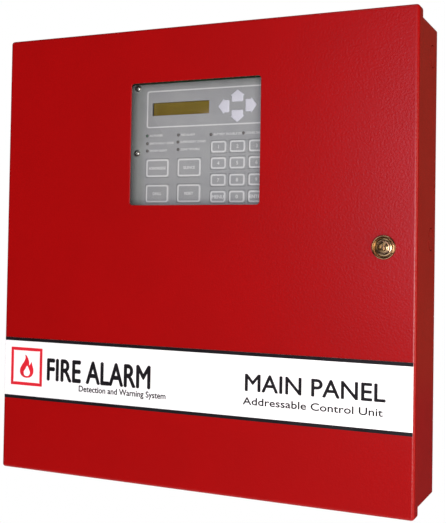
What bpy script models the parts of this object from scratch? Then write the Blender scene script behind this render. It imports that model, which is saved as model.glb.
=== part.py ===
"""Wall-mounted fire alarm control panel: hinged steel cabinet, keypad, board, transformer, batteries.

Metres, +Z up. The origin is the centre of the cabinet's back face, which lies on the wall at y = 0.
The door faces -Y, +X is to the right of someone who faces the panel, and the hinges are on the left.
"""
import math

import bmesh
import bpy
from mathutils import Vector

GAP = 0.0003                     # air between pieces that touch in the real object
SHEET = 0.0015                   # steel sheet of door and cabinet

# Door
DOOR_W = 0.4445
DOOR_H = 0.4572
DEPTH = 0.0920                   # wall to the door's front face
FRONT = -DEPTH
DOOR_BACK = FRONT + SHEET
FLANGE = 0.0140                  # how far the door's edges fold back
BEND_R = 0.0020
BEND_STEPS = 3

# Cabinet
SIDE_REVEAL = 0.0035             # step from the door's side to the cabinet's side
TOP_REVEAL = 0.0044
BOX_W = DOOR_W - 2 * SIDE_REVEAL
BOX_H = DOOR_H - 2 * TOP_REVEAL
RIM_Y = FRONT + 0.0035           # front of the cabinet's rim
LIP = 0.0100                     # width of the rim's inward lip
INNER_X = BOX_W / 2 - SHEET
INNER_Z = BOX_H / 2 - SHEET

# Knock-outs and wall fixings
KNOCKOUT_R = 0.0111
KNOCKOUT_SLOT = 0.0008
KNOCKOUT_TAB = math.radians(12)  # half-angle of each tab that holds the slug
KNOCKOUT_Y = -0.0200
SIDE_KNOCKOUTS = (0.1950, 0.0200)
TOP_KNOCKOUTS = (-0.1500, -0.0500, 0.0500, 0.1500)
KEYHOLE_X = 0.1850
KEYHOLE_Z = 0.1950
KEYHOLE_R = 0.0050
KEYHOLE_SLOT_R = 0.0026
KEYHOLE_RISE = 0.0100
FIXING_R = 0.0025
FIXING_Z = -0.1900

# Window in the door
WINDOW_W = 0.1420
WINDOW_TOP = 0.1740
WINDOW_BOTTOM = 0.0505
WINDOW_Z = (WINDOW_TOP + WINDOW_BOTTOM) / 2
WINDOW_H = WINDOW_TOP - WINDOW_BOTTOM
WINDOW_R = 0.0030
PANE_T = 0.0030
PANE_LAP = 0.0090                # how far the pane reaches behind the door
RETAINER_T = 0.0012
RETAINER_LAP = 0.0040            # how far the retainer's opening stays outside the window
RETAINER_RIM = 0.0020

# Label band across the door
LABEL_W = DOOR_W - 2 * BEND_R
LABEL_H = 0.0646
LABEL_Z = -0.1221
LABEL_T = 0.0004

# Cam lock
LOCK_X = 0.1924
LOCK_Z = 0.0114
LOCK_FACE_R = 0.0110
LOCK_FACE_Y = FRONT - 0.0030
LOCK_RIM_Y = LOCK_FACE_Y + 0.0008
LOCK_RIM_EASE = 0.0006
LOCK_DISH_R = 0.0082
LOCK_DISH_Y = LOCK_FACE_Y + 0.0016
LOCK_DISH_SLOPE = 0.0010         # how much wider the dish is at the face than at its floor
LOCK_THREAD_R = 0.0095
LOCK_END_Y = FRONT + 0.0115
PLUG_R = 0.0060
PLUG_CLEARANCE = 0.0001
PLUG_FACE_Y = LOCK_FACE_Y + 0.0004
PLUG_EDGE_Y = LOCK_FACE_Y + 0.0010
PLUG_EASE = 0.0008
NUT_FLATS = 0.0240
NUT_T = 0.0030
KEYWAY_W = 0.0014
KEYWAY_H = 0.0062
KEYWAY_DEEP = 0.0050
CAM_Y = FRONT + 0.0123
CAM_T = 0.0015
CAM_REACH = 0.0190
CAM_HUB_R = 0.0070
CAM_TIP_R = 0.0045
CAM_BORE_R = 0.0043
CAM_TAIL_R = 0.0040
SCREW_HEAD_R = 0.0048
SCREW_SHANK_R = 0.0018
SCREW_HOLE_R = 0.0021
SCREW_HOLE_DEEP = 0.0060
SCREW_SHANK_DEEP = 0.0050
SCREW_HEAD_EDGE = 0.0010         # straight part of the head's side
SCREW_HEAD_SHOULDER = 0.0018
SCREW_HEAD_T = 0.0020
SCREW_CROWN_R = SCREW_HEAD_R - 0.0010
STRIKE_Y = CAM_Y - 0.0008 - SHEET
STRIKE_REACH = 0.0116
STRIKE_DEEP = 0.0200
STRIKE_H = 0.0440

# Hinges
HINGE_Z = 0.1500
HINGE_LEN = 0.0500
KNUCKLE_R = 0.0029
KNUCKLE_GAP = 0.0004
KNUCKLE_LEN = (HINGE_LEN - 2 * KNUCKLE_GAP) / 3
PIN_R = 0.00145
PIN_BORE_R = 0.0016
PIN_HEAD_R = 0.0022
PIN_HEAD_T = 0.0010
LEAF_T = 0.0010
HINGE_SIDE_CLEAR = 0.00045       # from a knuckle to the cabinet's side
HINGE_FRONT_CLEAR = 0.0004       # from a knuckle to the door's folded edge
HINGE_X = -BOX_W / 2 - KNUCKLE_R - HINGE_SIDE_CLEAR
HINGE_Y = FRONT + FLANGE + KNUCKLE_R + HINGE_FRONT_CLEAR
DOOR_LEAF_DEEP = 0.0105
BOX_LEAF_DEEP = 0.0215
LEAF_CLEAR = KNUCKLE_R + 0.0004  # a leaf stays this far from the axis beside the other leaf's knuckles

# Main board and what stands on it
BOARD_T = 0.0016
BOARD_W = 0.3000
BOARD_BOTTOM = 0.0180
BOARD_TOP = 0.2020
BOARD_BACK = -0.0098
BOARD_FRONT = BOARD_BACK - BOARD_T
BOSS_R = 0.0060
BOSS_X = 0.1400
BOSS_ROWS = (0.0280, 0.1920)
STRIP_LEN = 0.2700
STRIP_H = 0.0125
STRIP_DEEP = 0.0140
STRIP_LEDGE = 0.62               # the screw ledge's depth, as a part of the whole
STRIP_STEP = 0.15                # where the slope to the ledge starts, as a part of the height
STRIP_ROWS = {"terminal_strip_lower": 0.0275, "terminal_strip_upper": 0.1915}
SINK_LOW = (-0.1440, 0.0560)
SINK_W = 0.0400
SINK_H = 0.0500
SINK_DEEP = 0.0250
SINK_BASE = 0.0030
SINK_FINS = 7
SINK_FIN_T = 0.0016
SOUNDER_R = 0.0120
SOUNDER_T = 0.0100
SOUNDER_EASE = 0.0010
SOUNDER_HOLE_R = SOUNDER_R * 0.2
SOUNDER_HOLE_DEEP = 0.0020
SOUNDER_AT = (0.1200, 0.1500)

# Keypad stack behind the window
PLATE_FRONT = FRONT + 0.0300
PLATE_T = 0.0018
PLATE_BACK = PLATE_FRONT + PLATE_T
PLATE_W = 0.1760
PLATE_H = 0.1432
PLATE_Z = 0.1064
POST_X = 0.0802
POST_FLATS = 0.0055
POST_DZ = 0.0680
KEYBOARD_W = 0.1500
KEYBOARD_H = 0.1360
KEYBOARD_FRONT = PLATE_BACK + 0.0017
KEY_PROUD = 0.0004
KEY_GAP = 0.0004
KEY_EASE = 0.0003                # bevel round a key's front
KEY_FLANGE = 0.0008
KEY_FLANGE_FRONT = PLATE_BACK + GAP
KEY_FLANGE_T = 0.0006
LCD_X = -0.0304
LCD_Z = 0.1516
LCD_VIEW_W = 0.0655
LCD_VIEW_H = 0.0135
LCD_BEZEL_W = 0.0712
LCD_BEZEL_H = 0.0252
LCD_BEZEL_DEEP = 0.0068
LCD_BOARD_W = 0.0800
LCD_BOARD_H = 0.0360
LCD_CUT_CLEAR = 0.0010           # how much larger the keypad board's opening is than the bezel
ARROW_CENTRE = (0.0335, 0.1511)
ARROW_REACH_X = 0.0208           # from the centre of the cross to a sideways arrow's tip
ARROW_REACH_Z = 0.0162
ARROW_LEN = 0.0118
ARROW_HEAD = 0.0057
ARROW_HALF_W = 0.0073
ARROW_HALF_STEM = 0.0060
FUNCTION_KEY = (0.0274, 0.0193)
FUNCTION_COLUMNS = (-0.0557, -0.0190)
FUNCTION_ROWS = (0.0904, 0.0640)
NUMBER_KEY = (0.0179, 0.0128)
NUMBER_COLUMNS = (0.0138, 0.0345, 0.0553)
NUMBER_ROWS = (0.1105, 0.0940, 0.0770, 0.0602)
FUNCTION_NAMES = (("key_acknowledge", "key_silence"), ("key_drill", "key_reset"))
NUMBER_NAMES = (("key_1", "key_2", "key_3"), ("key_4", "key_5", "key_6"),
                ("key_7", "key_8", "key_9"), ("key_star", "key_0", "key_hash"))

# Ribbon cable from the keypad board to the main board
RIBBON_W = 0.0250
RIBBON_T = 0.0010
RIBBON_X = 0.0400
RIBBON_Z = 0.0480
RIBBON_SAG = 0.0240
RIBBON_STEPS = 14

# Transformer
CORE_W = 0.0680
CORE_H = 0.0570
CORE_T = 0.0280
CORE_LEG = 0.0110                # half-width of the centre leg
CORE_WINDOW = 0.0226
CORE_WINDOW_H = 0.0340
COIL_W = 0.0446
COIL_H = 0.0334
COIL_T = 0.0460
TRANSFORMER_X = -0.1650
TRANSFORMER_Z = -0.0600
FOOT_T = 0.0020
FOOT_OUT = 0.0100

# Batteries
BATTERY_W = 0.1510
BATTERY_D = 0.0650
BATTERY_H = 0.0940
BATTERY_X = 0.0780
BATTERY_EASE = 0.0015
TAB_W = 0.0048
TAB_T = 0.0008
TAB_H = 0.0065
TAB_ROOT = 0.0010                # how far a tab reaches into the case
TAB_INSET = 0.0160
LEAD_R = 0.0015

ROUND = 32                       # facets of the lock's turned pieces
SMALL_ROUND = 16


def clear_scene():
    """Remove every object, so that the script starts from nothing."""
    for item in list(bpy.data.objects):
        bpy.data.objects.remove(item, do_unlink=True)


def material(name, colour, roughness, metallic=0.0, alpha=1.0):
    """Return the Principled material of that name, made on first use."""
    found = bpy.data.materials.get(name)
    if found:
        return found
    made = bpy.data.materials.new(name)
    made.use_nodes = True
    shader = made.node_tree.nodes["Principled BSDF"]
    shader.inputs["Base Color"].default_value = (*colour, 1.0)
    shader.inputs["Roughness"].default_value = roughness
    shader.inputs["Metallic"].default_value = metallic
    shader.inputs["Alpha"].default_value = alpha
    return made


def red_enamel():
    return material("red_enamel", (0.42, 0.012, 0.014), 0.42)


def zinc():
    return material("zinc_plate", (0.62, 0.62, 0.60), 0.35, 1.0)


def brass():
    return material("brass", (0.68, 0.47, 0.20), 0.28, 1.0)


def circuit_green():
    return material("circuit_board", (0.02, 0.16, 0.06), 0.45)


def black_plastic():
    return material("black_plastic", (0.03, 0.03, 0.032), 0.5)


def key_grey():
    return material("key_grey", (0.30, 0.31, 0.34), 0.5)


def empty(name, at, parent=None):
    """Add an empty at a point in the world, for the pieces that turn about it."""
    pivot = bpy.data.objects.new(name, None)
    bpy.context.collection.objects.link(pivot)
    pivot.parent = parent
    pivot.location = Vector(at) - parent_place(parent)
    return pivot


def parent_place(parent):
    """Return where a chain of unrotated parents stands in the world."""
    place = Vector((0.0, 0.0, 0.0))
    while parent is not None:
        place += parent.location
        parent = parent.parent
    return place


def solid(name, shape, at, finish, parent=None):
    """Make an object from a bmesh in world coordinates, with its origin at a point."""
    at = Vector(at)
    bmesh.ops.translate(shape, vec=-at, verts=shape.verts)
    bmesh.ops.recalc_face_normals(shape, faces=shape.faces)
    mesh = bpy.data.meshes.new(name)
    shape.to_mesh(mesh)
    shape.free()
    made = bpy.data.objects.new(name, mesh)
    bpy.context.collection.objects.link(made)
    made.parent = parent
    made.location = at - parent_place(parent)
    if finish:
        made.data.materials.append(finish)
    return made


def helper(name, shape):
    """Make an object that only cuts or joins, and is no piece of the panel."""
    tool = solid(name, shape, (0, 0, 0), None)
    tool.hide_render = True
    tool.display_type = "WIRE"
    return tool


def combine(target, tool, operation):
    """Add a Boolean of one object to another."""
    step = target.modifiers.new(tool.name, "BOOLEAN")
    step.operation = operation
    step.object = tool
    step.solver = "EXACT"


def cut(target, name, shape):
    combine(target, helper(name, shape), "DIFFERENCE")


def join(target, name, shape):
    combine(target, helper(name, shape), "UNION")


def smooth(made, angle=40.0):
    """Shade a round piece smooth, with its creases kept sharp."""
    made.data.shade_smooth()
    made.data.set_sharp_from_angle(angle=math.radians(angle))
    return made


def merged(shapes):
    """Return one bmesh that holds several separate closed shapes."""
    whole = bmesh.new()
    for shape in shapes:
        part = bpy.data.meshes.new("part")
        shape.to_mesh(part)
        shape.free()
        whole.from_mesh(part)
        bpy.data.meshes.remove(part)
    return whole


def block(low, high):
    """Return a box between two corners."""
    shape = bmesh.new()
    low = Vector(low)
    high = Vector(high)
    bmesh.ops.create_cube(shape, size=1.0)
    bmesh.ops.scale(shape, vec=high - low, verts=shape.verts)
    bmesh.ops.translate(shape, vec=(low + high) / 2, verts=shape.verts)
    return shape


def eased_block(low, high, radius, segments=1):
    """Return a box between two corners with all its edges bevelled."""
    shape = block(low, high)
    bmesh.ops.bevel(shape, geom=shape.edges[:], offset=radius, segments=segments, affect="EDGES")
    return shape


def extruded(outline, along):
    """Return an outline of points swept along a vector."""
    shape = bmesh.new()
    base = shape.faces.new([shape.verts.new(point) for point in outline])
    swept = bmesh.ops.extrude_face_region(shape, geom=[base])
    ends = [item for item in swept["geom"] if isinstance(item, bmesh.types.BMVert)]
    bmesh.ops.translate(shape, vec=along, verts=ends)
    bmesh.ops.recalc_face_normals(shape, faces=shape.faces)
    return shape


def plate(outline, front, back):
    """Return a flat (x, z) outline made into a plate between two y values."""
    return extruded([(x, back, z) for x, z in outline], (0, front - back, 0))


def rod(centre, radius, low, high, axis, segments):
    """Return a cylinder along an axis letter, between two coordinates on that axis."""
    ring = arc((0, 0), radius, 0, 2 * math.pi * (1 - 1 / segments), segments - 1)
    a, b = centre
    if axis == "X":
        return extruded([(low, a + u, b + v) for u, v in ring], (high - low, 0, 0))
    if axis == "Y":
        return extruded([(a + u, low, b + v) for u, v in ring], (0, high - low, 0))
    return extruded([(a + u, b + v, low) for u, v in ring], (0, 0, high - low))


def arc(centre, radius, start, end, steps):
    """Return the points of an arc, both ends included."""
    angles = [start + (end - start) * step / steps for step in range(steps + 1)]
    return [(centre[0] + radius * math.cos(a), centre[1] + radius * math.sin(a)) for a in angles]


def rectangle(x, z, width, height):
    """Return the corners of a rectangle about a centre."""
    return [(x - width / 2, z - height / 2), (x + width / 2, z - height / 2),
            (x + width / 2, z + height / 2), (x - width / 2, z + height / 2)]


def rounded_rectangle(x, z, width, height, radius, steps=3):
    """Return a rectangle's outline with arcs at its corners."""
    outline = []
    corners = ((1, 1, 0.0), (-1, 1, 0.5), (-1, -1, 1.0), (1, -1, 1.5))
    for sign_x, sign_z, turn in corners:
        centre = (x + sign_x * (width / 2 - radius), z + sign_z * (height / 2 - radius))
        outline += arc(centre, radius, turn * math.pi, (turn + 0.5) * math.pi, steps)
    return outline


def folded_tray(width, height, profile):
    """Loft rectangles into a folded tray from (inset, y) points, the first and last closed."""
    shape = bmesh.new()
    rings = []
    for inset, y in profile:
        corners = rectangle(0, 0, width - 2 * inset, height - 2 * inset)
        rings.append([shape.verts.new((x, y, z)) for x, z in corners])
    for near, far in zip(rings, rings[1:]):
        for side in range(4):
            after = (side + 1) % 4
            shape.faces.new((near[side], near[after], far[after], far[side]))
    shape.faces.new(rings[0])
    shape.faces.new(rings[-1])
    bmesh.ops.recalc_face_normals(shape, faces=shape.faces)
    return shape


def turned(profile, x, z, segments, closed=False):
    """Turn (radius, y) points about the line along Y through (x, z)."""
    shape = bmesh.new()
    points = [shape.verts.new((radius, y, 0)) for radius, y in profile]
    edges = [shape.edges.new(pair) for pair in zip(points, points[1:])]
    if closed:
        edges.append(shape.edges.new((points[-1], points[0])))
    bmesh.ops.spin(shape, geom=points + edges, cent=(0, 0, 0), axis=(0, 1, 0),
                   angle=2 * math.pi, steps=segments, use_merge=True)
    bmesh.ops.remove_doubles(shape, verts=shape.verts, dist=0.000001)
    bmesh.ops.translate(shape, vec=(x, 0, z), verts=shape.verts)
    bmesh.ops.recalc_face_normals(shape, faces=shape.faces)
    return shape


def hexagon(x, z, flats):
    """Return a hexagon that has two flats facing left and right."""
    corner = flats / math.sqrt(3)
    return arc((x, z), corner, math.pi / 6, math.pi * (2 - 1 / 6), 5)


def smooth_route(points, steps):
    """Return points on a Catmull-Rom curve through a route, both ends included."""
    knots = [Vector(point) for point in points]
    knots = [2 * knots[0] - knots[1]] + knots + [2 * knots[-1] - knots[-2]]
    route = []
    for a, b, c, d in zip(knots, knots[1:], knots[2:], knots[3:]):
        for step in range(steps):
            t = step / steps
            route.append(0.5 * (2 * b + (c - a) * t + (2 * a - 5 * b + 4 * c - d) * t ** 2
                                + (3 * b - a - 3 * c + d) * t ** 3))
    route.append(knots[-2])
    return route


def wire(name, points, radius, finish, steps=5):
    """Make an insulated wire as a bevelled curve through a route."""
    route = smooth_route(points, steps)
    start = route[0]
    curve = bpy.data.curves.new(name, "CURVE")
    curve.dimensions = "3D"
    curve.bevel_depth = radius
    curve.bevel_resolution = 2
    curve.use_fill_caps = True
    line = curve.splines.new("POLY")
    line.points.add(len(route) - 1)
    for point, place in zip(line.points, route):
        point.co = (*(place - start), 1.0)
    made = bpy.data.objects.new(name, curve)
    bpy.context.collection.objects.link(made)
    made.location = start
    made.data.materials.append(finish)


# ---------------------------------------------------------------- cabinet

def knockout_rings():
    """Return the curved slots round every knock-out slug, cut through their walls."""
    slots = []
    inner = KNOCKOUT_R - KNOCKOUT_SLOT
    for half in (0, math.pi):
        start = half + KNOCKOUT_TAB
        end = half + math.pi - KNOCKOUT_TAB
        ring = arc((0, 0), KNOCKOUT_R, start, end, 9) + arc((0, 0), inner, end, start, 9)
        for side in (-1, 1):
            low = side * (BOX_W / 2 + SHEET)
            for z in SIDE_KNOCKOUTS:
                outline = [(low, KNOCKOUT_Y + u, z + v) for u, v in ring]
                slots.append(extruded(outline, (-side * 3 * SHEET, 0, 0)))
        for x in TOP_KNOCKOUTS:
            outline = [(x + v, KNOCKOUT_Y + u, BOX_H / 2 + SHEET) for u, v in ring]
            slots.append(extruded(outline, (0, 0, -3 * SHEET)))
    return merged(slots)


def wall_fixings():
    """Return the cutters of two keyholes above and two round holes below."""
    through = (SHEET, -2 * SHEET)
    holes = []
    for side in (-1, 1):
        x = side * KEYHOLE_X
        neck = arc((x, KEYHOLE_Z + KEYHOLE_RISE), KEYHOLE_SLOT_R, 0, math.pi, 5)
        angle = math.asin(KEYHOLE_SLOT_R / KEYHOLE_R)
        round_part = arc((x, KEYHOLE_Z), KEYHOLE_R, math.pi / 2 + angle, 2.5 * math.pi - angle, 12)
        holes.append(plate(neck + round_part, through[1], through[0]))
        holes.append(rod((x, FIXING_Z), FIXING_R, through[1], through[0], "Y", SMALL_ROUND))
    return merged(holes)


def make_back_box():
    """Make the cabinet: one folded tray with a rim lip, bosses, knock-outs and fixing holes."""
    profile = [(0, 0), (0, RIM_Y), (SHEET + LIP, RIM_Y), (SHEET + LIP, RIM_Y + SHEET),
               (SHEET, RIM_Y + SHEET), (SHEET, -SHEET)]
    box = solid("back_box", folded_tray(BOX_W, BOX_H, profile), (0, 0, 0), red_enamel())
    bosses = [rod((side * BOSS_X, z), BOSS_R, BOARD_BACK + GAP, -SHEET / 2, "Y", SMALL_ROUND)
              for side in (-1, 1) for z in BOSS_ROWS]
    join(box, "board_bosses", merged(bosses))
    cut(box, "knockout_slots", knockout_rings())
    cut(box, "wall_holes", wall_fixings())


def make_latch_strike():
    """Make the angle that the lock's cam turns behind, welded inside the right wall."""
    wall = INNER_X - GAP
    z = LOCK_Z - STRIKE_H / 2
    outline = [(wall, STRIKE_Y, z), (wall, STRIKE_Y + STRIKE_DEEP, z),
               (wall - SHEET, STRIKE_Y + STRIKE_DEEP, z), (wall - SHEET, STRIKE_Y + SHEET, z),
               (wall - SHEET - STRIKE_REACH, STRIKE_Y + SHEET, z),
               (wall - SHEET - STRIKE_REACH, STRIKE_Y, z)]
    solid("latch_strike", extruded(outline, (0, 0, STRIKE_H)), (wall, STRIKE_Y, LOCK_Z), zinc())


def knuckle_spans(z):
    """Return the three knuckles' (low, high) along the hinge axis."""
    low = z - HINGE_LEN / 2
    pitch = KNUCKLE_LEN + KNUCKLE_GAP
    return [(low + pitch * place, low + pitch * place + KNUCKLE_LEN) for place in range(3)]


def barrel(low, high, radius):
    return rod((HINGE_X, HINGE_Y), radius, low, high, "Z", SMALL_ROUND)


def make_hinge(name, z, door):
    """Make one hinge: the cabinet's leaf, the door's leaf and the pin."""
    first, middle, last = knuckle_spans(z)
    leaf_x = -BOX_W / 2 - GAP
    wing = (leaf_x - LEAF_T, HINGE_Y + LEAF_CLEAR, z - HINGE_LEN / 2)
    box_leaf = solid("hinge_leaf_" + name,
                     block(wing, (leaf_x, HINGE_Y + LEAF_CLEAR + BOX_LEAF_DEEP, z + HINGE_LEN / 2)),
                     (HINGE_X, HINGE_Y, z), zinc())
    for end, (low, high) in (("a", first), ("b", last)):
        tongue = block((leaf_x - LEAF_T, HINGE_Y, low), (leaf_x, HINGE_Y + 2 * LEAF_CLEAR, high))
        join(box_leaf, "box_knuckle_" + name + end, barrel(low, high, KNUCKLE_R))
        join(box_leaf, "box_tongue_" + name + end, tongue)
    cut(box_leaf, "box_bore_" + name, barrel(z - HINGE_LEN, z + HINGE_LEN, PIN_BORE_R))

    door_x = -DOOR_W / 2 + SHEET + GAP
    near = HINGE_Y - LEAF_CLEAR
    door_leaf = solid("door_leaf_" + name,
                      block((door_x, near - DOOR_LEAF_DEEP, z - HINGE_LEN / 2),
                            (door_x + LEAF_T, near, z + HINGE_LEN / 2)),
                      (HINGE_X, HINGE_Y, z), zinc(), door)
    low, high = middle
    join(door_leaf, "door_knuckle_" + name, barrel(low, high, KNUCKLE_R))
    join(door_leaf, "door_tongue_" + name,
         block((door_x, near - LEAF_CLEAR, low), (door_x + LEAF_T, HINGE_Y, high)))
    cut(door_leaf, "door_bore_" + name, barrel(z - HINGE_LEN, z + HINGE_LEN, PIN_BORE_R))

    half = HINGE_LEN / 2 + GAP
    profile = [(0, -half - PIN_HEAD_T), (PIN_HEAD_R, -half - PIN_HEAD_T), (PIN_HEAD_R, -half),
               (PIN_R, -half), (PIN_R, half), (PIN_HEAD_R, half), (PIN_HEAD_R, half + PIN_HEAD_T),
               (0, half + PIN_HEAD_T)]
    shape = turned(profile, 0, 0, SMALL_ROUND)
    pin = solid("hinge_pin_" + name, shape, (0, 0, 0), zinc())
    pin.location = (HINGE_X, HINGE_Y, z)
    pin.rotation_euler = (math.pi / 2, 0, 0)
    smooth(pin)


# ---------------------------------------------------------------- door

def make_door_shell(door):
    """Make the door: a folded tray with a window and a lock hole."""
    outer = [(BEND_R - u, FRONT + BEND_R - v)
             for u, v in arc((0, 0), BEND_R, 0, math.pi / 2, BEND_STEPS)]
    profile = [(0, FRONT + FLANGE)] + outer
    profile += [(SHEET, DOOR_BACK), (SHEET, FRONT + FLANGE)]
    shell = solid("door_shell", door_tray(profile), (HINGE_X, HINGE_Y, 0), red_enamel(), door)
    opening = rounded_rectangle(0, WINDOW_Z, WINDOW_W, WINDOW_H, WINDOW_R)
    cut(shell, "window_cut", plate(opening, FRONT - SHEET, DOOR_BACK + SHEET))
    cut(shell, "lock_cut", rod((LOCK_X, LOCK_Z), LOCK_THREAD_R + GAP, FRONT - SHEET,
                               DOOR_BACK + SHEET, "Y", ROUND))


def door_tray(profile):
    """Loft the door's skin: outside rings to the front, inside rings back to the flange's edge."""
    shape = bmesh.new()
    rings = []
    for inset, y in profile:
        corners = rectangle(0, 0, DOOR_W - 2 * inset, DOOR_H - 2 * inset)
        rings.append([shape.verts.new((x, y, z)) for x, z in corners])
    front = len(rings) - 3
    for index, near in enumerate(rings):
        far = rings[(index + 1) % len(rings)]
        if index == front:
            shape.faces.new(near)
            shape.faces.new(far)
            continue
        for side in range(4):
            after = (side + 1) % 4
            shape.faces.new((near[side], near[after], far[after], far[side]))
    bmesh.ops.recalc_face_normals(shape, faces=shape.faces)
    return shape


def make_window(door):
    """Make the clear pane and the frame that holds it to the door's back."""
    pane_front = DOOR_BACK + GAP
    pane_back = pane_front + PANE_T
    pane_w = WINDOW_W + 2 * PANE_LAP
    pane_h = WINDOW_H + 2 * PANE_LAP
    glass = material("clear_pane", (0.86, 0.9, 0.9), 0.05, 0.0, 0.15)
    solid("window_pane", plate(rectangle(0, WINDOW_Z, pane_w, pane_h), pane_front, pane_back),
          (0, pane_front, WINDOW_Z), glass, door)
    back = pane_back + GAP + RETAINER_T
    pocket_w = pane_w + 2 * GAP
    pocket_h = pane_h + 2 * GAP
    outer = rectangle(0, WINDOW_Z, pocket_w + 2 * RETAINER_RIM, pocket_h + 2 * RETAINER_RIM)
    frame = solid("window_retainer", plate(outer, pane_front, back), (0, back, WINDOW_Z), zinc(), door)
    pocket = rectangle(0, WINDOW_Z, pocket_w, pocket_h)
    cut(frame, "retainer_pocket", plate(pocket, pane_front - SHEET, pane_back + GAP))
    sight = rectangle(0, WINDOW_Z, WINDOW_W + 2 * RETAINER_LAP, WINDOW_H + 2 * RETAINER_LAP)
    cut(frame, "retainer_sight", plate(sight, pane_front, back + SHEET))


def make_label(door):
    """Make the thin band across the door's lower part."""
    back = FRONT - GAP
    paper = material("label_white", (0.88, 0.88, 0.87), 0.35)
    solid("label_band", plate(rectangle(0, LABEL_Z, LABEL_W, LABEL_H), back - LABEL_T, back),
          (0, back, LABEL_Z), paper, door)


def make_lock(door):
    """Make the lock's body and nut, and return the empty that its plug turns about."""
    at = (LOCK_X, FRONT, LOCK_Z)
    bore = PLUG_R + PLUG_CLEARANCE
    profile = [(bore, LOCK_DISH_Y), (LOCK_DISH_R, LOCK_DISH_Y),
               (LOCK_DISH_R + LOCK_DISH_SLOPE, LOCK_FACE_Y),
               (LOCK_FACE_R - LOCK_RIM_EASE, LOCK_FACE_Y), (LOCK_FACE_R, LOCK_RIM_Y),
               (LOCK_FACE_R, FRONT - GAP), (LOCK_THREAD_R, FRONT - GAP), (LOCK_THREAD_R, LOCK_END_Y),
               (bore, LOCK_END_Y)]
    smooth(solid("lock_body", turned(profile, LOCK_X, LOCK_Z, ROUND, closed=True), at, brass(), door))
    nut_front = DOOR_BACK + GAP
    nut = solid("lock_nut", plate(hexagon(LOCK_X, LOCK_Z, NUT_FLATS), nut_front, nut_front + NUT_T),
                at, zinc(), door)
    cut(nut, "nut_bore", rod((LOCK_X, LOCK_Z), LOCK_THREAD_R + GAP, nut_front - SHEET,
                             nut_front + NUT_T + SHEET, "Y", ROUND))
    return empty("lock_axis", at, door)


def make_lock_plug(axis):
    """Make what a key turns: the plug, its cam and the cam's screw."""
    at = (LOCK_X, FRONT, LOCK_Z)
    shoulder = CAM_Y - GAP
    tail = CAM_Y + CAM_T - GAP
    profile = [(0, PLUG_FACE_Y), (PLUG_R - PLUG_EASE, PLUG_FACE_Y), (PLUG_R, PLUG_EDGE_Y),
               (PLUG_R, shoulder), (CAM_TAIL_R, shoulder), (CAM_TAIL_R, tail), (SCREW_HOLE_R, tail),
               (SCREW_HOLE_R, shoulder - SCREW_HOLE_DEEP), (0, shoulder - SCREW_HOLE_DEEP)]
    plug = solid("lock_plug", turned(profile, LOCK_X, LOCK_Z, ROUND), at, brass(), axis)
    smooth(plug)
    slot = block((LOCK_X - KEYWAY_W / 2, LOCK_FACE_Y - SHEET, LOCK_Z - KEYWAY_H / 2),
                 (LOCK_X + KEYWAY_W / 2, LOCK_FACE_Y + KEYWAY_DEEP, LOCK_Z + KEYWAY_H / 2))
    cut(plug, "keyway", slot)

    tip = CAM_REACH - CAM_TIP_R
    lean = math.asin((CAM_HUB_R - CAM_TIP_R) / tip)
    outline = arc((LOCK_X, LOCK_Z), CAM_HUB_R, -lean, math.pi + lean, 14)
    outline += arc((LOCK_X, LOCK_Z - tip), CAM_TIP_R, math.pi + lean, 2 * math.pi - lean, 8)
    cam = solid("lock_cam", plate(outline, CAM_Y, CAM_Y + CAM_T), at, zinc(), axis)
    cut(cam, "cam_bore", rod((LOCK_X, LOCK_Z), CAM_BORE_R, CAM_Y - SHEET, CAM_Y + 2 * SHEET, "Y",
                             ROUND))

    head = CAM_Y + CAM_T + GAP
    profile = [(0, shoulder - SCREW_SHANK_DEEP), (SCREW_SHANK_R, shoulder - SCREW_SHANK_DEEP),
               (SCREW_SHANK_R, head), (SCREW_HEAD_R, head), (SCREW_HEAD_R, head + SCREW_HEAD_EDGE),
               (SCREW_CROWN_R, head + SCREW_HEAD_SHOULDER), (0, head + SCREW_HEAD_T)]
    smooth(solid("cam_screw", turned(profile, LOCK_X, LOCK_Z, SMALL_ROUND), at, zinc(), axis))


# ---------------------------------------------------------------- keypad

def arrow_outline(turn):
    """Return an arrow's outline, its tip turned from +Z by quarter turns clockwise."""
    tip = ARROW_REACH_X if turn % 2 else ARROW_REACH_Z
    base = tip - ARROW_LEN
    neck = tip - ARROW_HEAD
    upright = [(-ARROW_HALF_STEM, base), (ARROW_HALF_STEM, base),
               (ARROW_HALF_STEM, neck), (ARROW_HALF_W, neck), (0, tip),
               (-ARROW_HALF_W, neck), (-ARROW_HALF_STEM, neck)]
    cosine = round(math.cos(-turn * math.pi / 2))
    sine = round(math.sin(-turn * math.pi / 2))
    x, z = ARROW_CENTRE
    return [(x + u * cosine - v * sine, z + u * sine + v * cosine) for u, v in upright]


def key_outlines():
    """Return every key's name and its (x, z) outline."""
    outlines = {}
    for turn, name in enumerate(("key_up", "key_right", "key_down", "key_left")):
        outlines[name] = arrow_outline(turn)
    blocks = ((FUNCTION_NAMES, FUNCTION_ROWS, FUNCTION_COLUMNS, FUNCTION_KEY),
              (NUMBER_NAMES, NUMBER_ROWS, NUMBER_COLUMNS, NUMBER_KEY))
    for names, rows, columns, size in blocks:
        for row_names, z in zip(names, rows):
            for name, x in zip(row_names, columns):
                outlines[name] = rectangle(x, z, *size)
    return outlines


def outline_centre(outline):
    """Return the middle of an outline's box."""
    xs = [x for x, z in outline]
    zs = [z for x, z in outline]
    return (min(xs) + max(xs)) / 2, (min(zs) + max(zs)) / 2


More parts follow.
